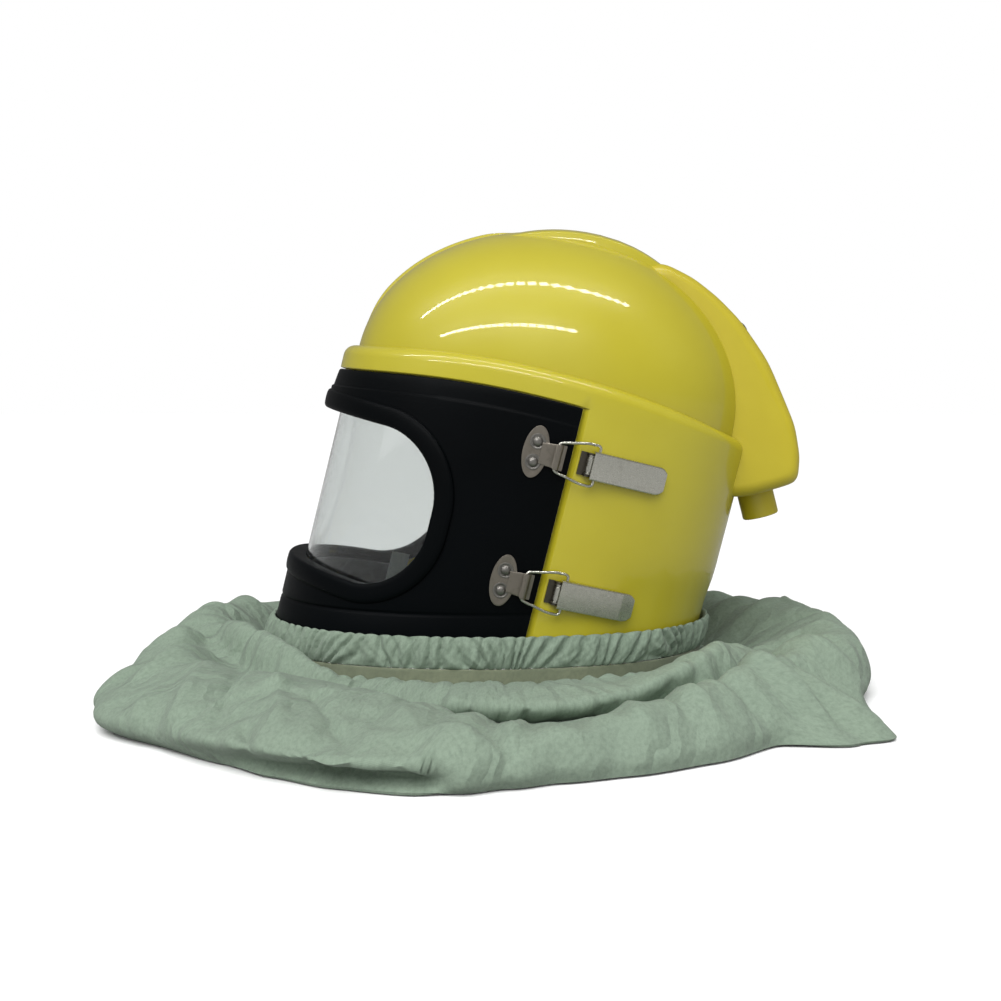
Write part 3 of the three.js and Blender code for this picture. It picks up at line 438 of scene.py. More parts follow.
def woven(name, light, dark, pitch, depth, mottle=0.5, rough=0.86, sheen=0.35, creases=0.0):
    """Plain cloth on the piece's own UV map, in metres: crossing yarns, slubs and worn patches."""
    mat, tree, shader = finish(
        name, light, rough, Sheen_Weight=sheen, Sheen_Roughness=0.5, Specular_IOR_Level=0.25)
    at = places(tree, "UV")
    warp = node(tree, "ShaderNodeTexWave", bands_direction="X", Scale=1 / pitch, Distortion=0.6)
    weft = node(tree, "ShaderNodeTexWave", bands_direction="Y", Scale=1 / pitch, Distortion=0.6)
    for wave in (warp, weft):
        wave.inputs["Detail Scale"].default_value = 3
        tree.links.new(at, wave.inputs["Vector"])
    yarns = node(tree, "ShaderNodeMath", operation="MULTIPLY")
    tree.links.new(warp.outputs["Fac"], yarns.inputs[0])
    tree.links.new(weft.outputs["Fac"], yarns.inputs[1])
    slubs = noise(tree, at, 300, 4, 0.7)
    patches = noise(tree, at, 11, 5, 0.6)
    base = blended(tree, ranged(tree, patches, 0.3, 0.7, 0, mottle), light, dark)
    fleck = blended(tree, ranged(tree, slubs, 0.42, 0.7, 0, 0.75), base, dark)
    gaps = blended(tree, ranged(tree, yarns.outputs[0], 0.0, 0.35, 0.35, 0), fleck, dark)
    tree.links.new(gaps, shader.inputs["Base Color"])
    first = bumped(tree, shader, yarns.outputs[0], 0.35, depth)
    second = bumped(tree, shader, slubs, 0.3, depth, under=first)
    crumple = node(tree, "ShaderNodeTexWave", Scale=9, Distortion=14, Detail=3, wave_profile="TRI")
    crumple.inputs["Detail Scale"].default_value = 1.6
    tree.links.new(at, crumple.inputs["Vector"])
    third = bumped(tree, shader, crumple.outputs["Fac"], 0.55, creases, under=second)
    bumped(tree, shader, noise(tree, at, 38, 4, 0.55), 0.5, creases, under=third)
    return mat


# Shell
SHELL_U = 208
HEAD_MIDDLE = (0, 0, 150)


def shell_columns():
    """Even stations with extra ones where the visor's pocket ends, so that its edge is crisp."""
    edge = FRAME_S + 0.5
    marks = [edge - 0.1, edge + 0.5, edge + 3.2, edge + 4.2]
    s = list(np.linspace(0, ROUND, SHELL_U + 1))
    for mark in marks:
        for value in (mark, ROUND - mark):
            s[int(np.argmin([abs(q - value) if 0 < i < SHELL_U else 1e9 for i, q in enumerate(s)]))] = value
            s.sort()
    return np.array(s)


def pocket_depth(s):
    edge = FRAME_S + 0.5
    return POCKET * (1 - np.clip((way(s) - edge) / 3.7, 0, 1))


def lower_crease(s, z):
    """The rear of the lower wall is drawn in a little below a soft crease."""
    rear = smooth(60, 100, oval(s)[1])
    return -2.2 * rear * smooth(0, 30, 76 - z)


def dome_place(s, up):
    x, y, _, _ = oval(s, -BROW_LEDGE)
    c, q = math.cos(up), math.sin(up)
    base = brow_z(s)
    return x * c, mix(DOME_SHIFT, y, c), base + (BROW_HEIGHT + DOME_HEIGHT - base) * q


def shell_table():
    s = shell_columns()
    low, top = level_z(s, -RIM_TUCK), frame_top(s) + 0.5
    rows = []
    for t in np.linspace(0, 1, 15):
        z = mix(low, top, t)
        rows.append(wall(s, z, -pocket_depth(s) + lower_crease(s, z)))
    rows.append(wall(s, top + 0.35, -np.minimum(pocket_depth(s), 0.6)))
    rows.append(wall(s, top + 1.0, 0))
    for a in np.linspace(0, 90, 9) * RAD:
        rows.append(wall(s, brow_z(s) - BROW_ROUND * (1 - math.sin(a)), -BROW_ROUND * (1 - math.cos(a))))
    for a in np.concatenate([[0, 1.0, 2.2], np.arange(4, 90, 2.6), [90]]) * RAD:
        x, y, z = dome_place(s, a)
        rows.append(to_helmet(x, y, z))
    return np.stack(rows, 1)


def dome_height(x, y):
    """Height of the dome over a place, by halving the way from the crown to the ledge."""
    x, y = np.broadcast_arrays(np.asarray(x, float), np.asarray(y, float))
    lo, hi = np.zeros(x.shape), np.ones(x.shape)
    for _ in range(34):
        c = (lo + hi) / 2
        share = np.abs(x / np.maximum(c, 1e-6) / (HALF_WIDTH - BROW_LEDGE)) ** POWER
        back = DOME_SHIFT + (y - DOME_SHIFT) / np.maximum(c, 1e-6)
        share = share + np.abs(back / (HALF_LENGTH - BROW_LEDGE)) ** POWER
        lo, hi = np.where(share > 1, c, lo), np.where(share > 1, hi, c)
    base = BROW_HEIGHT + BROW_RISE * np.abs(np.clip(x / np.maximum(hi, 0.05) / HALF_WIDTH, -1, 1)) ** 3
    return base + (BROW_HEIGHT + DOME_HEIGHT - base) * np.sqrt(np.maximum(0, 1 - hi**2))


CREST_LINE = [
    (-0.5, -1.6, 0.72), (-0.38, -0.3, 0.9), (-0.2, 0.6, 1), (0, 1, 1), (0.2, 0.9, 0.96), (0.38, 0.1, 0.86),
    (0.5, -1.5, 0.7)]


def crest_table():
    line = curve_through(CREST_LINE, 61)
    u = np.linspace(-1, 1, 17)
    rows = []
    for along, rise, width in line:
        y = DOME_SHIFT + along * CREST_LENGTH
        top = float(dome_height(0, y)) + rise * CREST_RISE
        half = width * CREST_WIDTH / 2
        x = u * half
        z = top - 0.12 * half * u**2
        under = dome_height(x, y) - 1.6
        edge = [(half + 0.9, z[-1] - 0.5), (half + 1.5, z[-1] - 1.3)]
        floor = float(dome_height(half + 2.2, y)) - 1.6
        right = [(a, max(b, floor)) for a, b in edge] + [(half + 2.2, floor)]
        across = [(-a, b) for a, b in reversed(right)] + list(zip(x, np.maximum(z, under))) + right
        across += list(zip(x[::-1], under[::-1])) + [(-half - 2.2, floor)]
        p = np.array(across)
        rows.append(to_helmet(p[:, 0], y, p[:, 1]))
    return np.stack(rows)


def keel_table():
    angles = np.linspace(6, 70, 41) * RAD
    x = np.array([-9.6, -9.0, -8.4, -7.2, -4, 0, 4, 7.2, 8.4, 9.0, 9.6])
    lift = np.array([-0.5, 0.35, 0.8, 1, 1, 1, 1, 1, 0.8, 0.35, -0.5])
    rows = []
    for a in angles:
        y = mix(DOME_SHIFT, -(HALF_LENGTH - BROW_LEDGE), math.cos(a))
        rise = KEEL_RISE * float(smooth(4, 24, a / RAD)) * (1 - float(smooth(58, 70, a / RAD)))
        ny, nz = -math.cos(a), math.sin(a)
        z = dome_height(x, y)
        out = lift * rise - 0.3
        back = np.full(x.shape, -1.4)
        top = to_helmet(x, y + ny * out, z + nz * out)
        under = to_helmet(x[::-1], y + ny * back, z[::-1] + nz * back)
        rows.append(np.vstack([top, under, top[:1]]))
    return np.stack(rows)


def window_outline(margin, count=192):
    """Even places round the rounded window, as s and z, starting at the middle of the top."""
    half, radius = WINDOW_S + margin, WINDOW_RADIUS + margin
    high, low = WINDOW_TOP + margin, WINDOW_TOP - WINDOW_HEIGHT - margin
    path = [(0, high)]
    corners = [(half - radius, high - radius, 90, 0), (half - radius, low + radius, 0, -90),
               (-half + radius, low + radius, -90, -180), (-half + radius, high - radius, 180, 90)]
    for cx, cz, start, end in corners:
        for a in np.linspace(start, end, 40) * RAD:
            path.append((cx + radius * math.cos(a), cz + radius * math.sin(a)))
    path.append((0, high))
    p = np.array(path)
    run = np.concatenate([[0], np.cumsum(np.hypot(*np.diff(p, axis=0).T))])
    at = np.linspace(0, run[-1], count + 1)
    return np.interp(at, run, p[:, 0]), np.interp(at, run, p[:, 1])


def window_plug(name, margin, inner, outer, rings=10):
    """A closed slab of the window's outline between two offsets from the wall."""
    s, z = window_outline(margin)
    middle = WINDOW_TOP - WINDOW_HEIGHT / 2
    rows = []
    for t in np.linspace(0, 1, rings):
        rows.append(wall(s * t, mix(middle, z, t), outer))
    for t in np.linspace(1, 0, rings):
        rows.append(wall(s * t, mix(middle, z, t), inner))
    return spread_sheet(name, np.stack(rows, 1), closed=True)


class HOOD_OT_shell(bpy.types.Operator):
    """Moulds the helmet's shell with its brow roll, keel and raised crest"""

    bl_idname = "hood.shell"
    bl_label = "Shell"

    def execute(self, context):
        colours = context.scene.hood_colours
        gloss = moulded("yellow_gloss", colours.shell, colours.shell_deep, 0.34, 0.46, 0.04, coat=0.55, shine=0.35)
        shell = spread_sheet("shell_skin", shell_table(), up=away_from(*HEAD_MIDDLE))
        modified(shell, "SOLIDIFY", thickness=WALL * MM, offset=-1, use_even_offset=True)
        cut(shell, window_plug("window_cutter", 11, -POCKET - WALL - 8, 14))
        crest = spread_sheet("crest_skin", crest_table())
        keel = spread_sheet("keel_skin", keel_table())
        for piece in (crest, keel):
            in_edit(piece, filled, outwards)
        for piece in (shell, crest, keel):
            dressed(piece, 32, gloss, "yellow_gloss", "root", "shell")
        return {"FINISHED"}


# Visor frame, window surround and lens. Rows are (mm from the edge, how proud), up from the foot and down from the top
FRAME_ROWS = [
    (0, 0.9), (8, 0.95), (20, 1), (34.4, 1), (35.2, 0.86), (36.4, 0.62),
    (37.2, 0.62), (38.2, 0.92), (39.2, 1)]
TOP_ROWS = [(15, 0.88), (14, 0.84), (13.3, 0.6), (12.7, 0.42), (11.6, 0.4),
            (6, 0.2), (1.6, 0.0), (0.6, -0.16), (0, -0.5)]


def frame_table():
    s = np.linspace(-FRAME_S, FRAME_S, 141)
    low, top = level_z(s, -RIM_TUCK), frame_top(s)
    rows = [wall(s, low + by, FRAME_FACE + proud * FRAME_PROUD * bulge(s)) for by, proud in FRAME_ROWS]
    for t in np.linspace(0, 1, 16)[1:-1]:
        z = mix(low + 39.2, top - 15, t)
        rows.append(wall(s, z, FRAME_FACE + mix(1, 0.88, t) * FRAME_PROUD * bulge(s)))
    rows += [wall(s, top - by, FRAME_FACE + proud * FRAME_PROUD * bulge(s)) for by, proud in TOP_ROWS]
    return np.stack(rows, 1)


def surround_table():
    face = FRAME_FACE + FRAME_PROUD * 0.9
    rise = 2.2
    profile = [
        (0, -LIP_DEPTH), (0, -3), (0, face - 1), (0.25, face + 0.4), (0.9, face + 1.3), (2.2, face + rise - 0.2),
        (4, face + rise), (8, face + rise + 0.1), (11, face + rise - 0.1), (12.8, face + rise - 0.5),
        (13.8, face + 1), (14.3, face + 0.2), (14.6, face - 1.2), (14.2, -1), (8, -2.4), (6, -3.2), (6, -LIP_DEPTH),
        (3, -LIP_DEPTH)]
    rows = []
    for margin, out in profile + profile[:1]:
        s, z = window_outline(margin)
        rows.append(wall(s, z, out))
    return np.stack(rows, 1)


class HOOD_OT_visor(bpy.types.Operator):
    """Moulds the black visor frame with its steps, the window's surround and the curved clear lens"""

    bl_idname = "hood.visor"
    bl_label = "Visor"

    def execute(self, context):
        colours = context.scene.hood_colours
        black = moulded("black_plastic", colours.frame, colours.frame_deep, 0.44, 0.56, 0.06, shine=0.07)
        clear, tree, shader = finish(
            "clear_lens", colours.lens, 0.03, Transmission_Weight=1.0, IOR=1.45, Specular_IOR_Level=0.4)
        at = places(tree)
        tree.links.new(ranged(tree, noise(tree, at, 24, 6, 0.7), 0.4, 0.8, 0.015, 0.1), shader.inputs["Roughness"])
        band = spread_sheet("visor_band", frame_table(), up=away_from(*HEAD_MIDDLE))
        modified(band, "SOLIDIFY", thickness=FRAME_THICK * MM, offset=-1, use_even_offset=True)
        cut(band, window_plug("window_cutter", 4, -14, 16))
        ring = spread_sheet("window_surround", surround_table(), closed=True)
        lens = window_plug("lens_sheet", LENS_LAP, -LIP_DEPTH - SEAT - LENS_THICK, -LIP_DEPTH - SEAT, 26)
        for piece in (band, ring):
            dressed(piece, 34, black, "black_plastic", "root", "visor_frame")
        dressed(lens, 40, clear, "clear_lens", "root", "visor_lens")
        return {"FINISHED"}


# Foam and strap inside, below the window
def padded_strip(name, stations, low, high, outer, thick, rows=11, edge=0.5):
    """A strip along the wall, domed across, closed all round. low and high are functions of s."""
    s = np.asarray(stations, float)
    table = []
    for t in np.linspace(0, 1, rows):
        table.append(wall(s, mix(low(s), high(s), t), np.full(s.shape, outer)))
    for t in np.linspace(1, 0, rows):
        deep = outer - thick * (edge + (1 - edge) * math.sin(math.pi * t) ** 0.5)
        table.append(wall(s, mix(low(s), high(s), t), deep))
    table.append(table[0])
    made = spread_sheet(name, np.stack(table, 1), size=(float(np.ptp(s)) * MM, 0.1))
    in_edit(made, filled, outwards)
    return made


class HOOD_OT_lining(bpy.types.Operator):
    """Makes the chin foam and the webbing strap that show through the window"""

    bl_idname = "hood.lining"
    bl_label = "Chin foam and strap"

    def execute(self, context):
        colours = context.scene.hood_colours
        foam, tree, shader = finish("dark_foam", colours.foam, 0.95, Sheen_Weight=0.3, Specular_IOR_Level=0.15)
        at = places(tree)
        cells = noise(tree, at, 900, 3, 0.7)
        flecks = ranged(tree, noise(tree, at, 140, 5, 0.7), 0.3, 0.7, 0, 1)
        tree.links.new(blended(tree, flecks, colours.foam_dark, colours.foam), shader.inputs["Base Color"])
        bumped(tree, shader, cells, 0.6, 0.0008)
        webbing = woven("grey_webbing", colours.webbing, colours.webbing_dark, 0.0016, 0.0006, 0.4, 0.8)
        high = WINDOW_TOP - WINDOW_HEIGHT - 11 + 3
        low = lambda s: level_z(s, -RIM_TUCK + 2)
        back = -POCKET - WALL - 4 * SEAT
        pad = padded_strip("chin_pad", np.linspace(-WINDOW_S, WINDOW_S, 97), low, lambda s: s * 0 + high, back, 9)
        rounded_edges(pad, 1.6)
        middle = -WINDOW_S + 34
        strap = padded_strip(
            "chin_webbing", np.linspace(middle - 9, middle + 9, 13), lambda s: level_z(s, -RIM_TUCK + 4),
            lambda s: s * 0 + WINDOW_TOP - WINDOW_HEIGHT + 4, back - SEAT - 9, 1.6, edge=0.9)
        dressed(pad, 60, foam, "dark_foam", "root", "chin_liner")
        dressed(strap, 40, webbing, "grey_webbing", "root", "chin_strap")
        return {"FINISHED"}


# Air housing: side profile in level millimetres behind and above the middle of the rim
HOUSING_WIDTH = 92.0
HOUSING_LINE = [
    (60, 248), (120, 268), (131, 267), (151, 257), (169, 243), (187, 225), (208, 195), (221, 165), (229, 146),
    (233, 123), (232, 108), (228, 102), (190, 91), (150, 96)]
PIPE_LEAN = 14.5 * RAD
# Turned profiles as (radius, height) in mm
PIPE_PROFILE = [
    (11.5, 0), (13.6, 0), (14, 0.4), (14, 7), (14, 20), (14.0, 26.4), (13.8, 27.4), (13.1, 28), (12.1, 28),
    (11.5, 27.5), (11.5, 14), (11.5, 0)]
BOLT_PROFILE = [
    (0, -2.6), (7.2, -2.6), (7.5, -2.2), (7.5, -1.5), (7.2, -1.1), (5.6, -1.1), (5.6, 1.8), (5.2, 2.8), (4.2, 3.6),
    (2.9, 4.1), (2.8, 3.2), (1.4, 3.0), (0, 3.0)]


def housing_table():
    """Rings of the side profile, stepped across the width with rounded shoulders, capped at both sides."""
    middle = np.array([168.0, 172.0])
    line = np.array(HOUSING_LINE, float)
    dense = []
    for i, p in enumerate(line):
        q = line[(i + 1) % len(line)]
        dense += [mix(p, q, t) for t in np.linspace(0, 1, 9)[:-1]]
    dense = np.array(dense + dense[:1])
    soft = dense.copy()
    for _ in range(6):
        soft[1:-1] = (soft[:-2] + 2 * soft[1:-1] + soft[2:]) / 4
        soft[0] = soft[-1] = (soft[-2] + 2 * soft[0] + soft[1]) / 4
    bevel = 11.0
    turns = np.linspace(90, 0, 8) * RAD
    left = [(bevel * (1 - math.cos(a)), HOUSING_WIDTH / 2 - bevel * (1 - math.sin(a))) for a in turns]
    steps = left + [(0, w) for w in np.linspace(24, -24, 7)] + [(inset, -w) for inset, w in reversed(left)]
    rows = [np.repeat(middle[None], len(soft), 0) + 0 * soft]
    widths = [HOUSING_WIDTH / 2]
    for inset, w in steps:
        gone = soft - middle
        size = np.linalg.norm(gone, axis=1)[:, None]
        rows.append(middle + gone * (size - inset) / size)
        widths.append(w)
    rows.append(rows[0])
    widths.append(-HOUSING_WIDTH / 2)
    return np.stack([to_hood(w, r[:, 0], r[:, 1] + RIM_LEVEL) for r, w in zip(rows, widths)], 1)


def level_matrix(x, y, z, direction):
    """Matrix whose z axis is direction, at a place in level millimetres above the rim."""
    turn = Vector(direction).to_track_quat("Z", "Y").to_matrix().to_4x4()
    turn.translation = Vector(to_hood(x, y, z + RIM_LEVEL))
    return turn


class HOOD_OT_housing(bpy.types.Operator):
    """Moulds the air housing on the back of the shell with its pipe stub and bolt"""

    bl_idname = "hood.housing"
    bl_label = "Air housing"

    def execute(self, context):
        colours = context.scene.hood_colours
        satin = moulded("yellow_satin", colours.housing, colours.housing_deep, 0.34, 0.5, 0.1)
        steel = brushed("grey_steel", colours.rivet, colours.rivet_dark, 0.34)
        housing = spread_sheet("air_housing_skin", housing_table(), closed=True)
        keep = shell_table()
        floor = np.repeat(to_helmet(0, 0, -RIM_TUCK)[None], keep.shape[0], 0)
        inner = spread_sheet("shell_cutter", np.concatenate([floor[:, None], keep], 1), closed=True)
        cut(housing, inner)
        dressed(housing, 38, satin, "yellow_satin", "root", "air_housing")
        down = (0, math.sin(PIPE_LEAN), -math.cos(PIPE_LEAN))
        top = level_matrix(0, 205 - 5 * math.sin(PIPE_LEAN), 97 + 5 * math.cos(PIPE_LEAN), down)
        pipe = turned("air_pipe_skin", PIPE_PROFILE, top, 48)
        dressed(pipe, 38, satin, "yellow_satin", "root", "air_pipe")
        a, b = np.array(HOUSING_LINE[5], float), np.array(HOUSING_LINE[6], float)
        seat = mix(a, b, 0.2)
        along = (b - a) / np.linalg.norm(b - a)
        place = level_matrix(0, seat[0] - along[1] * 2, seat[1] + along[0] * 2, (0, -along[1], along[0]))
        bolt = turned("bolt_skin", BOLT_PROFILE, place, 36)
        dressed(bolt, 34, steel, "grey_steel", "root", "housing_bolt")
        return {"FINISHED"}


# Draw latches, in the latch's own frame: x forwards along the wall, y outwards, z along the pin, in mm
def latch_matrix(side, y, z, offset):
    s = s_at(y)
    x, y0, nx, ny = oval(s, offset)
    out = Vector((float(nx) * side, float(ny), 0))
    forward = Vector((float(ny) * side, -float(nx), 0))
    pin = forward.cross(out)
    tip = Matrix.Rotation(-TILT, 3, "X")
    turn = Matrix((tip @ forward, tip @ out, tip @ pin)).transposed().to_4x4()
    turn.translation = Vector(to_helmet(float(x) * side, float(y0), z))
    return turn


def put(table, matrix):
    local = np.concatenate([table * MM, np.ones((*table.shape[:-1], 1))], -1)
    return (local @ np.array(matrix).T)[..., :3]


LEVER_TOP = PIVOT_UP + 3.6
LEVER_SLOPE, TAB_SLOPE = math.tan(11 * RAD), math.tan(24 * RAD)
# Turned profiles as (radius, height) in mm
RIVET_PROFILE = [
    (0, 1.5), (5.5, 1.5), (5.6, 1.7), (5.5, 1.95), (5.0, 2.1), (4.5, 1.95), (4.2, 1.75), (3.6, 1.75), (3.45, 2.1),
    (3.1, 2.9), (2.3, 3.6), (1.2, 4.0), (0, 4.1)]
BARREL_HALF = [(2.6, 4.7), (1.95, 4.9), (1.95, 5.7), (2.6, 5.9), (2.6, 6.6), (2.1, 7.0), (0, 7.0)]
BARREL_PROFILE = [(r, -h) for r, h in reversed(BARREL_HALF)] + BARREL_HALF


def lever_table():
    """A pressed channel: flat sloping top, side flanges that fade and a bent tab. Its front edge clears the ears."""
    bend = (-LEVER_LENGTH - 1, LEVER_TOP - LEVER_LENGTH * LEVER_SLOPE)
    run = [(mix(-1.4, bend[0], t), mix(LEVER_TOP, bend[1], t)) for t in np.linspace(0, 1, 25)]
    tab = [(bend[0] - q, bend[1] - q * TAB_SLOPE) for q in (4, 7, 9.4, 10)]
    rows = []
    for x, y in run + tab:
        half = LEVER_HALF - 3.4 * float(np.clip((-x - 54) / 4, 0, 1))
        deep = LEVER_DEEP - 3.6 * float(np.clip((-x - 8) / 36, 0, 1)) - 2.0 * float(np.clip((-x - 46) / 6, 0, 1))
        deep = max(1.3, deep)
        r = 0.9
        across = [(-half, -deep), (-half, -r), (-half + 0.27, -0.27), (-half + r, 0)]
        across += [(w * (half - r), 0.12 * (1 - w * w)) for w in (-0.5, 0, 0.5)]
        across += [(half - r, 0), (half - 0.27, -0.27), (half, -r), (half, -deep)]
        rows.append([(x, y + drop, z) for z, drop in across])
    return np.array(rows)


def bail_reach():
    return math.sqrt(BAIL_LENGTH**2 - (PIVOT_UP - HOOK_UP) ** 2)


def bail_line():
    reach = bail_reach()
    front_x, rear = -BAIL_BACK + reach, 14.5
    half = [
        (-5, PIVOT_UP, 10.3), (-5, PIVOT_UP, 11.6), (-4.8, PIVOT_UP, 13.2), (-3.2, PIVOT_UP, 14.4), (0, PIVOT_UP, rear),
        (4, PIVOT_UP, rear - 0.1), (9, 5.2, 13.4), (14, 4.9, 12.2), (19, 4.5, 11.2), (21.4, HOOK_UP, 10.6),
        (23.2, HOOK_UP, 9.6), (front_x, HOOK_UP, 7.6), (front_x, HOOK_UP, 4)]
    line = half + [(front_x, HOOK_UP, 0)] + [(x, y, -z) for x, y, z in reversed(half)]
    return curve_through(line, 150)


def catch_line(hook_x, hook_y):
    back = hook_x - 1 - 3 * SEAT - 0.6
    roof = hook_y + 1 + 2.4 + 0.6
    floor = SEAT + 1.2 + 0.55
    return [
        (-3.4, floor), (back - 3, floor), (back - 0.9, floor + 0.2), (back - 0.1, floor + 1.1), (back, floor + 2.4),
        (back, roof - 2), (back + 0.4, roof - 0.7), (back + 1.5, roof), (hook_x + 0.6, roof),
        (hook_x + 1.8, roof - 0.3)]


def strip_table(line, half, corner=1.6):
    """A strap of sheet along a side profile, its two ends slightly rounded."""
    p = np.array(line, float)
    z = np.concatenate([[-1], np.linspace(-0.92, 0.92, 9), [1]]) * half
    rows = []
    for i, (x, y) in enumerate(p):
        short = corner if i in (0, len(p) - 1) else 0
        rows.append([(x, y, q * (1 - short / half)) for q in z])
    return np.array(rows)


def oval_plate_table(half_x, half_z, low, thick):
    turn = np.linspace(0, 2 * math.pi, 73)
    x, z = np.cos(turn) * half_x, np.sin(turn) * half_z
    rows = []
    for inset, y in [(99, low), (0.5, low), (0.15, low + 0.1), (0, low + 0.35), (0, low + thick - 0.4),
                     (0.12, low + thick - 0.1), (0.5, low + thick), (1.8, low + thick), (2.4, low + thick - 0.15),
                     (99, low + thick - 0.15)]:
        k = max(0, 1 - inset / half_x)
        k2 = max(0, 1 - inset / half_z) if inset < 50 else 0
        rows.append(np.stack([x * k, np.full(x.shape, y), z * k2], -1))
    return np.stack(rows, 1)


def press_latch(tag, side, height, steel, warm, dull, dim):
    """Makes one latch's lever, bail, catch plate, rivets and barrel, and finishes its base."""
    latch = latch_matrix(side, PIVOT_REAR, height, 0)
    proud = float(helmet_proud(s_at(PLATE_AT)))
    plate_at = latch_matrix(side, PLATE_AT, height, proud)
    reach = bail_reach() - BAIL_BACK
    hook = plate_at.inverted() @ latch @ (Vector((reach, HOOK_UP, 0)) * MM)
    hook_x, hook_y = hook.x / MM, hook.y / MM

    lever = spread_sheet("lever_skin_" + tag, put(lever_table(), latch))
    inside = latch @ (Vector((-20, -4, 0)) * MM)
    if sum((f.center - inside).dot(f.normal) * f.area for f in lever.data.polygons) < 0:
        in_edit(lever, turned_over)
    modified(lever, "SOLIDIFY", thickness=1.0 * MM, offset=-1)
    rounded_edges(lever, 0.22)
    dressed(lever, 11, steel, "latch_steel", "lever_" + tag, "lever_" + tag)

    bail = tube("bail_wire_" + tag, put(bail_line(), latch), 1.0 * MM, 14)
    dressed(bail, 60, steel, "latch_steel", "bail_" + tag, "bail_" + tag)

    plate = spread_sheet("catch_oval_" + tag, put(oval_plate_table(9, 18.5, SEAT, 1.2), plate_at), closed=True)
    strip = spread_sheet("catch_strip", put(strip_table(catch_line(hook_x, hook_y), 9), plate_at))
    modified(strip, "SOLIDIFY", thickness=1.1 * MM, offset=0)
    rounded_edges(strip, 0.2)
    in_edit(strip, outwards)
    plate = joined("catch_plate_skin_" + tag, plate, strip)
    dressed(plate, 40, warm, "latch_steel", "root", "catch_plate_" + tag)

    for end, shift in (("a", RIVET_APART / 2), ("b", -RIVET_APART / 2)):
        up = plate_at @ Matrix.Translation(Vector((0, 0, shift)) * MM) @ Matrix.Rotation(-90 * RAD, 4, "X")
        rivet = turned(f"rivet_{tag}_{end}", RIVET_PROFILE, up, 40)
        dressed(rivet, 40, dull, "grey_steel", "root", f"catch_rivet_{tag}_{end}")

    barrel_at = latch @ Matrix.Translation(Vector((0, PIVOT_UP, 0)) * MM)
    barrel = turned("hinge_barrel_" + tag, BARREL_PROFILE, barrel_at, 28)
    dressed(barrel, 40, steel, "latch_steel", "root")

    base = frame["nodes"]["latch_base_" + tag]
    for slot in base.material_slots:
        slot.material = dim
    if not base.data.materials:
        base.data.materials.append(dim)
    weld = base.modifiers.new("Weld", "WELD")
    weld.merge_threshold = 0.00001
    edge = base.modifiers.new("Edges", "BEVEL")
    edge.width, edge.segments, edge.limit_method = 0.2 * MM, 2, "ANGLE"
    edge.angle_limit = 40 * RAD


class HOOD_OT_latches(bpy.types.Operator):
    """Presses the four draw latches: catch plates, rivets, levers and wire bails"""

    bl_idname = "hood.latches"
    bl_label = "Draw latches"

    def execute(self, context):
        colours = context.scene.hood_colours
        steel = brushed("latch_steel", colours.steel, colours.steel_dark, 0.26)
        warm = brushed("plate_steel", colours.plate, colours.plate_dark, 0.36)
        dim = brushed("base_steel", colours.base, colours.plate_dark, 0.4)
        dull = brushed("grey_steel_rivet", colours.rivet, colours.rivet_dark, 0.42)
        for name, side in (("left", 1), ("right", -1)):
            for level, height in LATCH_HEIGHTS:
                press_latch(f"{name}_{level}", side, height, steel, warm, dull, dim)
        return {"FINISHED"}


# Gathered band and tape. Sections are (mm out from the wall, mm above the casing's top edge)
BAND_SECTION = [
    (0.1, -1.6), (0.8, 0.2), (2.2, 0.6), (3.8, -1.2), (4.9, -4.4), (5.3, -8), (5.4, -11), (5.3, -14), (4.9, -17.6),
    (3.8, -20.4), (2.2, -21.9), (0.8, -21.8), (0.1, -20.2), (0, -11)]
TAPE_SECTION = [
    (0, 0), (0.5, 0.35), (1.2, 0.1), (1.45, -0.6), (1.5, -1.6), (1.55, -3.4), (1.6, -5.8), (1.75, -8.2), (1.9, -10.2),
    (1.95, -11), (1.6, -11.5), (0.9, -11.2), (0.5, -10), (0.3, -5.8), (0, -1)]


def rim_place(s, offset, level, lean):
    x, y, _, _ = oval(s, offset)
    return to_hood(x, y / math.cos(TILT) + lean * math.tan(TILT), level)


def gathers(s, count, seed):
    """Uneven pleats round the rim: 0 in the creases and 1 on the rolls between them."""
    a = s / ROUND * 2 * math.pi
    phase = count * a + 1.3 * np.sin(7 * a + seed) + 1.1 * np.sin(17 * a + 2 * seed) + 0.8 * np.sin(31 * a + 3 * seed)
    return (0.5 + 0.5 * np.cos(phase)) ** 0.42


def band_table():
    nu = 960
    s = np.linspace(0, ROUND, nu + 1)
    inner = helmet_proud(s) + SEAT + 0.2
    section = curve_through(BAND_SECTION, 33, closed=True)
    rows = []
    a = s / ROUND * 2 * math.pi
    for out, level in section:
        slant = s + level * (0.2 + 0.9 * np.sin(5 * a + 1) + 0.8 * np.sin(13 * a)) * 0.5
        roll = gathers(slant, 92, 1.0)
        fine = gathers(slant + 1.5 * np.sin(level * 0.5 + 5 * a), 171, 2.0)
        deep = 3.7 * (1 - roll) + 1.2 * (1 - fine)
        outward = np.clip((out - 1.2) / 3.2, 0, 1)
        edge = np.clip(abs(level + 11) / 11, 0, 1) ** 3
        grow = 0.6 * np.sin(9 * a + 0.4) * outward
        offset = np.maximum(inner + 0.02 + 0.2 * outward, inner + out - deep * outward + grow)
        lift = edge * 1.1 * (roll - 0.6) * (1 if level > -11 else -0.6)
        rows.append(rim_place(s, offset, RIM_LEVEL + level + lift, level + lift))
    table = np.stack(rows, 1)
    table[-1] = table[0]
    return table


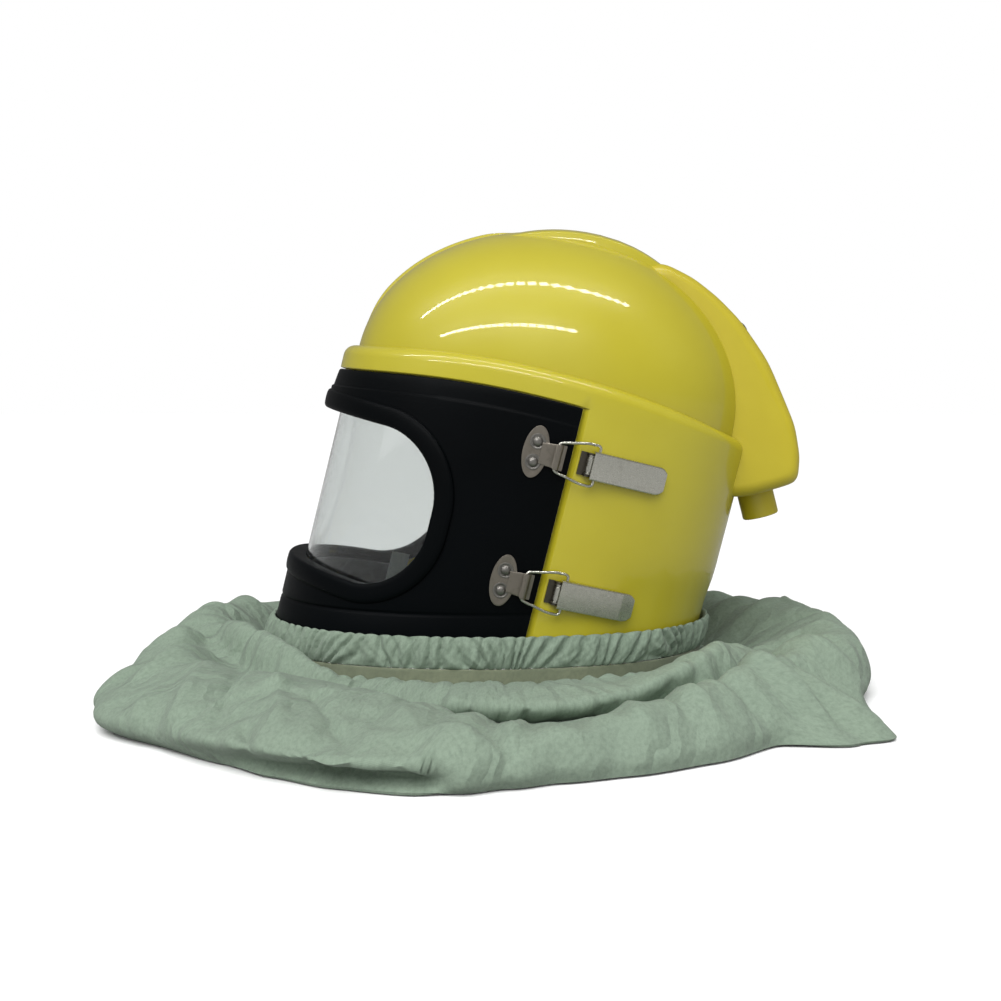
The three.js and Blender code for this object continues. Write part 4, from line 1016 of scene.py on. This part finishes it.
def tape_table():
    s = np.linspace(0, ROUND, 361)
    a = s / ROUND * 2 * math.pi
    inner = helmet_proud(s) + 2
    top = -BAND_HEIGHT - SEAT
    rows = []
    for out, drop in TAPE_SECTION:
        ripple = 0.35 * np.sin(46 * a + 2 * np.sin(5 * a)) * min(1, -drop / 11.5) * (1 if out > 0.5 else 0.4)
        rows.append(rim_place(s, inner + out + ripple, RIM_LEVEL + top + drop, top + drop))
    rows.append(rows[0])
    table = np.stack(rows, 1)
    table[-1] = table[0]
    return table


class HOOD_OT_collar(bpy.types.Operator):
    """Gathers the elastic band round the rim and lays the binding tape under it"""

    bl_idname = "hood.collar"
    bl_label = "Elastic band and tape"

    def execute(self, context):
        colours = context.scene.hood_colours
        cloth = cape_cloth(context)
        tape_mat = woven("olive_tape", colours.tape, colours.tape_dark, 0.0011, 0.0003, 0.9, 0.8, sheen=0.2)
        band = spread_sheet("gathered_band", band_table(), size=(1.9, 0.05), closed=True)
        dressed(band, 75, cloth, "green_cloth", "root", "elastic_band")
        tape = spread_sheet("binding_tape_skin", tape_table(), size=(ROUND * MM, 0.026), closed=True)
        dressed(tape, 50, tape_mat, "olive_tape", "root", "binding_tape")
        return {"FINISHED"}


def cape_cloth(context):
    """The green cotton that the band and the cape share."""
    colours = context.scene.hood_colours
    return bpy.data.materials.get("green_cotton") or woven(
        "green_cotton", colours.cloth, colours.cloth_dark, 0.0021, 0.0005, 0.1, sheen=0.08, creases=0.0028)


# Cape: the cloth's way from the tape out to the hem, by compass degrees from the face: how far out each
# place lies, then how high, in mm. It rolls out under the tape, dips, rises to a ridge and turns under
# at the hem, which lies at HEM_HEIGHT
HEM_HEIGHT = 1.2
CAPE_GRID = (440, 96)
CAPE_WAYS = {
    0: ((182, 191, 199, 210, 224, 238, 249, 259, 265, 266, 259), (16, 20, 30, 45, 52, 49, 40, 28, 17, 7)),
    14: ((180, 187, 195, 204, 212, 224, 240, 256, 270, 279, 271), (20, 38, 50, 52, 40, 36, 45, 40, 27, 10)),
    26: ((174, 181, 189, 197, 205, 221, 248, 280, 302, 307, 300), (24, 44, 52, 45, 28, 29, 40, 31, 19, 9)),
    36: ((168, 176, 184, 193, 202, 220, 250, 290, 316, 318, 308), (20, 39, 49, 41, 25, 29, 39, 28, 16, 8)),
    47: ((160, 168, 177, 186, 195, 211, 244, 284, 306, 309, 301), (19, 27, 34, 25, 19, 32, 40, 30, 17, 8)),
    58: ((152, 160, 170, 179, 189, 200, 240, 290, 318, 309, 305), (25, 23, 16, 7, 8, 30, 38, 29, 19, 7)),
    66: ((148, 157, 168, 178, 190, 202, 246, 296, 327, 309, 316), (26, 24, 17, 7, 7, 29, 36, 29, 20, 9)),
    74: ((146, 157, 169, 180, 193, 208, 250, 302, 334, 309, 324), (26, 24, 18, 8, 7, 26, 33, 27, 19, 10)),
    82: ((147, 162, 177, 172, 188, 212, 254, 304, 330, 312, 328), (26, 24, 18, 8, 5, 21, 31, 26, 18, 9)),
    87: ((148, 167, 181, 172, 178, 210, 252, 300, 324, 328, 322), (25, 24, 18, 7, 5, 18, 28, 29, 20, 8)),
    92: ((149, 169, 184, 174, 168, 202, 248, 290, 310, 317, 312), (25, 24, 18, 7, 4, 11, 20, 28, 22, 10)),
    98: ((150, 172, 186, 176, 166, 198, 242, 280, 298, 306, 303), (25, 24, 18, 7, 4, 9, 18, 28, 27, 12)),
    106: ((151, 174, 189, 178, 168, 196, 236, 267, 284, 298, 298), (25, 24, 19, 8, 5, 9, 18, 30, 29, 12)),
    118: ((155, 178, 193, 184, 176, 200, 228, 252, 268, 289, 291), (25, 27, 24, 12, 8, 12, 22, 36, 35, 14)),
    130: ((160, 182, 197, 192, 190, 208, 226, 244, 260, 280, 282), (25, 34, 34, 20, 13, 15, 28, 44, 39, 15)),
    138: ((163, 180, 197, 204, 208, 220, 234, 249, 268, 296, 318), (24, 38, 43, 33, 22, 23, 37, 47, 35, 12)),
    143: ((164, 180, 196, 206, 212, 222, 238, 252, 276, 312, 330), (24, 39, 46, 37, 25, 26, 40, 48, 34, 16)),
    148: ((165, 179, 194, 206, 214, 224, 240, 256, 274, 296, 312), (22, 36, 47, 40, 28, 30, 43, 47, 33, 13)),
    157: ((168, 178, 192, 206, 216, 228, 244, 262, 276, 286, 280), (18, 26, 38, 34, 24, 28, 42, 45, 33, 13)),
    170: ((174, 182, 194, 208, 222, 240, 258, 272, 284, 289, 282), (14, 16, 22, 28, 28, 36, 46, 45, 33, 13)),
    185: ((178, 188, 202, 220, 238, 256, 270, 281, 290, 292, 284), (12, 10, 16, 28, 40, 48, 49, 40, 26, 10)),
    210: ((172, 184, 200, 218, 236, 254, 270, 284, 293, 295, 287), (12, 12, 26, 41, 48, 46, 39, 30, 19, 8)),
    240: ((156, 166, 184, 204, 226, 248, 268, 288, 298, 300, 292), (12, 8, 18, 31, 37, 36, 31, 22, 14, 6)),
    270: ((142, 154, 171, 194, 220, 246, 268, 286, 296, 298, 290), (12, 6, 12, 24, 30, 30, 26, 18, 11, 5)),
    300: ((158, 168, 184, 206, 230, 252, 272, 288, 298, 299, 292), (12, 7, 14, 26, 32, 31, 25, 18, 11, 5)),
    325: ((176, 186, 199, 214, 230, 246, 260, 272, 280, 281, 274), (10, 8, 20, 34, 41, 38, 32, 23, 14, 6)),
    343: ((180, 189, 199, 212, 226, 238, 248, 257, 263, 264, 257), (12, 10, 24, 41, 49, 47, 39, 28, 17, 7)),
}
# Folds that lie on it: two ends in mm from the rim's middle (left, back), half width and height, which
# grows by FOLD_GROWTH
FOLD_GROWTH = 1.6
CAPE_FOLDS = [
    ((70, -186), (158, -246), 8, 5.5), ((95, -205), (140, -268), 6, -5.0), ((140, -192), (250, -196), 9, 5.0),
    ((150, -170), (262, -168), 6, -4.2), ((175, -215), (235, -236), 7, 4.2), ((20, -185), (66, -262), 7, -4.6),
    ((185, -140), (292, -122), 7, 3.8), ((205, -120), (318, -78), 5, -3.0), ((225, -66), (318, -34), 8, 3.0),
    ((196, -158), (232, -172), 5, 3.2), ((262, -150), (296, -140), 6, -3.4), ((-20, -190), (-30, -250), 7, 4.4),
    ((40, -190), (74, -254), 6, 4.2), ((276, -6), (322, 14), 5, -3.6), ((236, 24), (300, 10), 6, 2.6),
    ((205, 78), (284, 96), 7, 3.4), ((196, 96), (262, 128), 6, -3.2), ((205, 108), (252, 150), 7, 4.0),
    ((176, 120), (228, 184), 6, -4.4), ((150, 150), (214, 236), 7, 5.0), ((132, 170), (176, 250), 6, -5.0),
    ((104, 178), (132, 262), 8, 5.0), ((70, 196), (88, 268), 7, -4.4), ((20, 205), (26, 270), 8, 4.6),
    ((-20, 205), (-30, 272), 7, -4.4), ((-62, 200), (-92, 262), 8, 4.4), ((-110, 190), (-160, 240), 7, -4.4),
    ((-150, 140), (-214, 200), 8, 4.2), ((-170, 100), (-262, 130), 7, -3.6), ((-172, 40), (-276, 30), 8, 3.6),
    ((-170, -20), (-286, -40), 7, -3.6), ((-165, -90), (-262, -130), 8, 4.0), ((-130, -150), (-205, -215), 7, -4.2),
    ((-80, -190), (-104, -244), 7, 4.2),
]


# Laps, where one layer of cloth ends on another: two ends, how far the rise behind it runs, its height
CAPE_LAPS = [
    ((286, -34), (330, 26), 26, 6.5), ((212, -128), (240, -206), 22, 3.4), ((120, 250), (232, 262), 16, 2.6),
    ((226, -98), (214, -150), 20, 2.6), ((-60, 250), (-150, 232), 20, 3.0),
]


def cape_table():
    nu, nv = CAPE_GRID
    keys = sorted(CAPE_WAYS)
    angles = np.array([keys[-1] - 360, *keys, 360], float)
    ways = np.array([[out, (*high, HEM_HEIGHT)] for out, high in map(CAPE_WAYS.get, (keys[-1], *keys, keys[0]))], float)
    ways = ways.transpose(0, 2, 1)
    t = np.linspace(0, 1, nu + 1)
    s = ROUND * (t - 0.35 / (2 * math.pi) * (np.sin(2 * math.pi * (t - 0.25)) + 1))
    inner = helmet_proud(s)
    collar_x, collar_y, _, _ = oval(s, inner + 2.6)
    collar_y = collar_y / math.cos(TILT) - (BAND_HEIGHT + TAPE_HEIGHT) * math.tan(TILT)
    compass = np.mod(np.degrees(np.arctan2(collar_x, -collar_y)), 360)
    top = RIM_LEVEL - BAND_HEIGHT - TAPE_HEIGHT - 2 * SEAT
    start = np.hypot(collar_x, collar_y)
    around = s / ROUND * 2 * math.pi
    pleat = 0.75 * gathers(s, 43, 4.0) + 0.25 * gathers(s, 97, 2.0)
    pleat = pleat * (0.75 + 0.25 * np.sin(9 * around + 1) * np.sin(4 * around))
    table = np.empty((nu + 1, nv + 1, 3))
    share = np.linspace(0, 1, nv + 1)
    for i in range(nu + 1):
        k = int(np.searchsorted(angles, compass[i], side="right")) - 1
        k = min(max(k, 0), len(angles) - 2)
        between = float(smooth(0, 1, (compass[i] - angles[k]) / (angles[k + 1] - angles[k])))
        row = mix(ways[k], ways[k + 1], between)
        first = [
            (start[i] + 0.6, top - 1.0), (start[i] + 3.6, top + 2.0 + 2.2 * pleat[i]),
            (start[i] + 8.0, top + 2.6 + 1.4 * pleat[i])]
        row[0][0] = max(row[0][0], start[i] + 13)
        line = curve_through(np.vstack([first, row]), nv + 1)
        near = np.exp(-(((np.arange(nv + 1) - 4) / 9.0) ** 2)) * (np.arange(nv + 1) > 1)
        line[:, 1] += near * 4.6 * (pleat[i] - 0.5)
        line[:, 0] += near * 2.4 * (pleat[i] - 0.5)
        c, q = math.sin(math.radians(compass[i])), -math.cos(math.radians(compass[i]))
        table[i, :, 0], table[i, :, 1], table[i, :, 2] = c * line[:, 0], q * line[:, 0], line[:, 1]
    table[-1] = table[0]
    x, y, z = table[..., 0], table[..., 1], table[..., 2]
    body = smooth(0.12, 0.3, share) * (1 - smooth(0.86, 0.97, share))
    lift = np.zeros_like(x)
    for start_at, end_at, wide, high in CAPE_FOLDS:
        (ax, ay), (dx, dy) = start_at, np.subtract(end_at, start_at)
        along = np.clip(((x - ax) * dx + (y - ay) * dy) / (dx * dx + dy * dy), 0, 1)
        away = np.hypot(x - ax - along * dx, y - ay - along * dy)
        lift += high * np.exp(-((away / wide) ** 1.4)) * np.sin(math.pi * np.clip(along, 0.05, 0.95)) ** 0.7
    turn = np.arctan2(x, -y)
    rays = turn * 21 + 1.6 * np.sin(3 * turn + 0.5) + 1.1 * np.sin(8 * turn) + 0.012 * np.hypot(x, y)
    lift *= FOLD_GROWTH
    lift += 3.8 * (np.abs(np.sin(rays)) - 0.6) * (0.6 + 0.4 * np.sin(5 * turn + 1.0))
    lift += 2.6 * (0.5 - np.abs(np.sin(x / 15 + 1.7 * np.sin(y / 29) + 0.6))) * np.sin(y / 19 + 1.5 * np.sin(x / 27))
    lift += 0.7 * np.sin(x / 6.5 + y / 9) * np.sin(y / 7 - x / 11)
    for start_at, end_at, run, high in CAPE_LAPS:
        (ax, ay), (dx, dy) = start_at, np.subtract(end_at, start_at)
        size = math.hypot(dx, dy)
        along = ((x - ax) * dx + (y - ay) * dy) / size ** 2
        across = ((x - ax) * dy - (y - ay) * dx) / size
        ends = smooth(-0.1, 0.12, along) * (1 - smooth(0.88, 1.1, along))
        lift += high * ends * smooth(-1.6, 1.6, across) * np.exp(-np.maximum(across, 0) / run)
    drawn = gathers(s, 31, 5.0)[:, None] - 0.5
    lift += 3.4 * drawn * np.exp(-((share - 0.2) / 0.17) ** 2)[None, :]
    along_u = np.gradient(np.stack([x, y, z], -1), axis=0)
    along_v = np.gradient(np.stack([x, y, z], -1), axis=1)
    away = np.cross(along_v, along_u)
    away /= np.maximum(np.linalg.norm(away, axis=-1, keepdims=True), 1e-6)
    away *= np.sign(np.median(away[:, 40, 2]))
    away[-1] = away[0]
    near_tape = smooth(0.05, 0.14, share)
    moved = (lift * np.maximum(body, 0.55 * near_tape * (1 - smooth(0.86, 0.97, share))))[..., None] * away
    x, y, z = x + moved[..., 0], y + moved[..., 1], np.maximum(1.0, z + moved[..., 2])
    return to_hood(x, y, z)


class HOOD_OT_cape(bpy.types.Operator):
    """Lays out the gathered cloth cape with its folds, laps and turned hem"""

    bl_idname = "hood.cape"
    bl_label = "Cape"

    def execute(self, context):
        sizes = context.scene.hood_sizes
        cape = spread_sheet("cape_cloth", cape_table(), size=(1.95, 0.24), up=lambda place: Vector((0, 0, 1)))
        modified(cape, "SOLIDIFY", thickness=sizes.cloth, offset=0, use_even_offset=False)
        for v in cape.data.vertices:
            v.co.z = max(0.0, v.co.z)
        dressed(cape, 80, cape_cloth(context), "green_cloth", "root", "cape")
        return {"FINISHED"}


# Floor, lights and camera. The floor is paler to the eye than to the light that it throws back
FLOOR_SEEN, FLOOR_BOUNCE = 0.97, 0.42
AIR_LIGHT, CEILING_LIGHT = 0.27, 3.25
CAMERA_AWAY, CAMERA_RISE = 1.1, 4.4 * RAD
CAMERA_SENSOR, CAMERA_LENS = 36, 1.2735 * 1100 / 1001 * 36
CAMERA_AIM = (0, 6.3, 86.7)
# Name, place in m, size in m and power in W
SOFT_LAMPS = [
    ("near_soft", (1.6, 0.1, 0.6), 0.9, 7.0), ("front_soft", (0.7, -1.5, 0.8), 0.7, 3.0),
    ("rear_soft", (0.6, 1.4, 1.0), 0.6, 2.5)]
# Name, middle and length in m, number of lamps, their size in m and power in W
LAMP_STRIPS = [
    ("key_strip", (1.05, -0.5, 0.98), 1.6, 22, 0.06, 0.4), ("crest_strip", (0.35, -0.35, 1.35), 2.2, 26, 0.065, 0.4)]


class HOOD_OT_stage(bpy.types.Operator):
    """Sets the pale floor, the soft lights and the camera"""

    bl_idname = "hood.stage"
    bl_label = "Floor, lights and camera"

    def execute(self, context):
        scene = context.scene
        nothing_selected()
        bpy.ops.mesh.primitive_circle_add(vertices=96, radius=14, fill_type="NGON", location=(0, 0, -0.0006))
        floor = bpy.context.active_object
        floor.name = "studio_floor"
        mat, tree, shader = finish("pale_floor", (0.93, 0.93, 0.93), 0.9, Specular_IOR_Level=0.1)
        tone = blended(tree, seen_straight(tree), (FLOOR_BOUNCE,) * 3, (FLOOR_SEEN,) * 3)
        tree.links.new(tone, shader.inputs["Base Color"])
        floor.data.materials.append(mat)
        world = bpy.data.worlds.new("studio")
        scene.world = world
        world.use_nodes = True
        tree = world.node_tree
        air = tree.nodes["Background"]
        air.inputs["Color"].default_value = (1, 1, 1, 1)
        air.inputs["Strength"].default_value = AIR_LIGHT
        backdrop = node(tree, "ShaderNodeBackground", Color=(1, 1, 1, 1), Strength=1.0)
        seen = node(tree, "ShaderNodeMixShader")
        tree.links.new(seen_straight(tree), seen.inputs[0])
        tree.links.new(air.outputs[0], seen.inputs[1])
        tree.links.new(backdrop.outputs[0], seen.inputs[2])
        tree.links.new(seen.outputs[0], tree.nodes["World Output"].inputs["Surface"])
        bpy.ops.object.light_add(type="SUN", location=(0, 0, 2))
        ceiling = bpy.context.active_object
        ceiling.name = "ceiling_light"
        ceiling.data.energy, ceiling.data.angle = CEILING_LIGHT, 50 * RAD
        ceiling.visible_glossy = False
        ceiling.rotation_euler = Vector((-0.7, 0.2, -1)).to_track_quat("-Z", "Y").to_euler()
        lamps = list(SOFT_LAMPS)
        for name, (x, y, z), length, count, size, power in LAMP_STRIPS:
            for i in range(count):
                lamps.append((f"{name}_{i}", (x, y + length * (i / (count - 1) - 0.5), z), size, power))
        for name, place, size, power in lamps:
            look = Vector((0, 0, 0.2)) - Vector(place)
            bpy.ops.object.light_add(type="AREA", location=place, rotation=look.to_track_quat("-Z", "Y").to_euler())
            lamp = bpy.context.active_object
            lamp.name = name
            lamp.data.size = size
            lamp.data.energy = power
            lamp.visible_glossy, lamp.visible_diffuse = "strip" in name, "strip" not in name
        aim = Vector(to_hood(*CAMERA_AIM[:2], CAMERA_AIM[2] + RIM_LEVEL))
        bpy.ops.object.camera_add(
            location=aim + CAMERA_AWAY * Vector((math.cos(CAMERA_RISE), 0, math.sin(CAMERA_RISE))))
        camera = bpy.context.active_object
        camera.name = "photo_camera"
        camera.rotation_euler = (aim - camera.location).to_track_quat("-Z", "Y").to_euler()
        camera.data.sensor_width = CAMERA_SENSOR
        camera.data.lens = CAMERA_LENS
        scene.camera = camera
        scene.view_settings.view_transform = "Standard"
        return {"FINISHED"}


def colour(name, default, words):
    return bpy.props.FloatVectorProperty(
        name=name, description=words, default=default, size=3, min=0, max=1, subtype="COLOR")


class HoodColours(bpy.types.PropertyGroup):
    """Colours of the finishes"""

    shell: colour("Shell", (0.415, 0.366, 0.021), "Glossy yellow of the moulded shell")
    shell_deep: colour("Shell, clouds", (0.385, 0.333, 0.015), "Slightly deeper yellow that clouds the shell")
    housing: colour("Housing", (0.46, 0.385, 0.02), "Satin yellow of the air housing")
    housing_deep: colour("Housing, clouds", (0.41, 0.335, 0.015), "Slightly deeper yellow that clouds the housing")
    frame: colour("Visor frame", (0.0005, 0.0011, 0.0016), "Black of the visor frame")
    frame_deep: colour("Visor frame, clouds", (0.0003, 0.0007, 0.0010), "Deeper black that clouds the visor frame")
    lens: colour("Lens", (0.76, 0.785, 0.775), "Faint tint of the clear lens")
    foam: colour("Foam", (0.075, 0.08, 0.085), "Grey flecks of the chin foam")
    foam_dark: colour("Foam, dark", (0.018, 0.02, 0.022), "Dark cells of the chin foam")
    webbing: colour("Webbing", (0.27, 0.30, 0.29), "Grey of the chin strap")
    webbing_dark: colour("Webbing, dark", (0.14, 0.16, 0.16), "Darker yarns of the chin strap")
    steel: colour("Latch steel", (0.56, 0.555, 0.49), "Pressed steel of the latches")
    steel_dark: colour("Latch steel, stains", (0.4, 0.39, 0.34), "Stains on the pressed steel")
    plate: colour("Plate steel", (0.27, 0.245, 0.205), "Warm steel of the catch plates")
    plate_dark: colour("Plate steel, stains", (0.17, 0.15, 0.12), "Stains on the catch plates")
    base: colour("Latch base steel", (0.11, 0.1, 0.08), "Dark steel of the latch bases")
    rivet: colour("Rivet steel", (0.25, 0.24, 0.22), "Steel of the rivets and the bolt")
    rivet_dark: colour("Rivet steel, stains", (0.06, 0.055, 0.05), "Stains on the rivets and the bolt")
    cloth: colour("Cloth", (0.232, 0.298, 0.228), "Green cotton of the band and cape")
    cloth_dark: colour("Cloth, dark", (0.145, 0.19, 0.145), "Darker yarns of the green cotton")
    tape: colour("Tape", (0.21, 0.23, 0.15), "Olive of the binding tape")
    tape_dark: colour("Tape, dark", (0.11, 0.13, 0.085), "Darker yarns and marks of the tape")


class HoodSizes(bpy.types.PropertyGroup):
    """Sizes that a user may change"""

    cloth: bpy.props.FloatProperty(
        name="Cape cloth", description="Thickness of the cape's cloth", default=0.0018, min=0.001, max=0.003,
        subtype="DISTANCE", unit="LENGTH")


class HOOD_PT_panel(bpy.types.Panel):
    """Lists the hood's pieces in the sidebar"""

    bl_idname = "HOOD_PT_panel"
    bl_label = "Sandblasting hood"
    bl_space_type = "VIEW_3D"
    bl_region_type = "UI"
    bl_category = "Hood"

    def draw(self, context):
        for piece in PIECES:
            self.layout.operator(piece.bl_idname)
        for group in (context.scene.hood_colours, context.scene.hood_sizes):
            for name in group.bl_rna.properties.keys():
                if name not in ("rna_type", "name"):
                    self.layout.prop(group, name)


PIECES = (
    HOOD_OT_stage, HOOD_OT_shell, HOOD_OT_visor, HOOD_OT_lining, HOOD_OT_housing, HOOD_OT_latches, HOOD_OT_collar,
    HOOD_OT_cape)
CLASSES = (HoodColours, HoodSizes, *PIECES, HOOD_PT_panel)


def register():
    for made in CLASSES:
        bpy.utils.register_class(made)
    bpy.types.Scene.hood_colours = bpy.props.PointerProperty(type=HoodColours)
    bpy.types.Scene.hood_sizes = bpy.props.PointerProperty(type=HoodSizes)


def unregister():
    del bpy.types.Scene.hood_colours
    del bpy.types.Scene.hood_sizes
    for made in reversed(CLASSES):
        bpy.utils.unregister_class(made)


def main():
    register()
    bpy.ops.hood.stage()
    bpy.ops.hood.shell()
    bpy.ops.hood.visor()
    bpy.ops.hood.lining()
    bpy.ops.hood.housing()
    bpy.ops.hood.latches()
    bpy.ops.hood.collar()
    bpy.ops.hood.cape()
    nothing_selected()


if __name__ == "__main__":
    main()
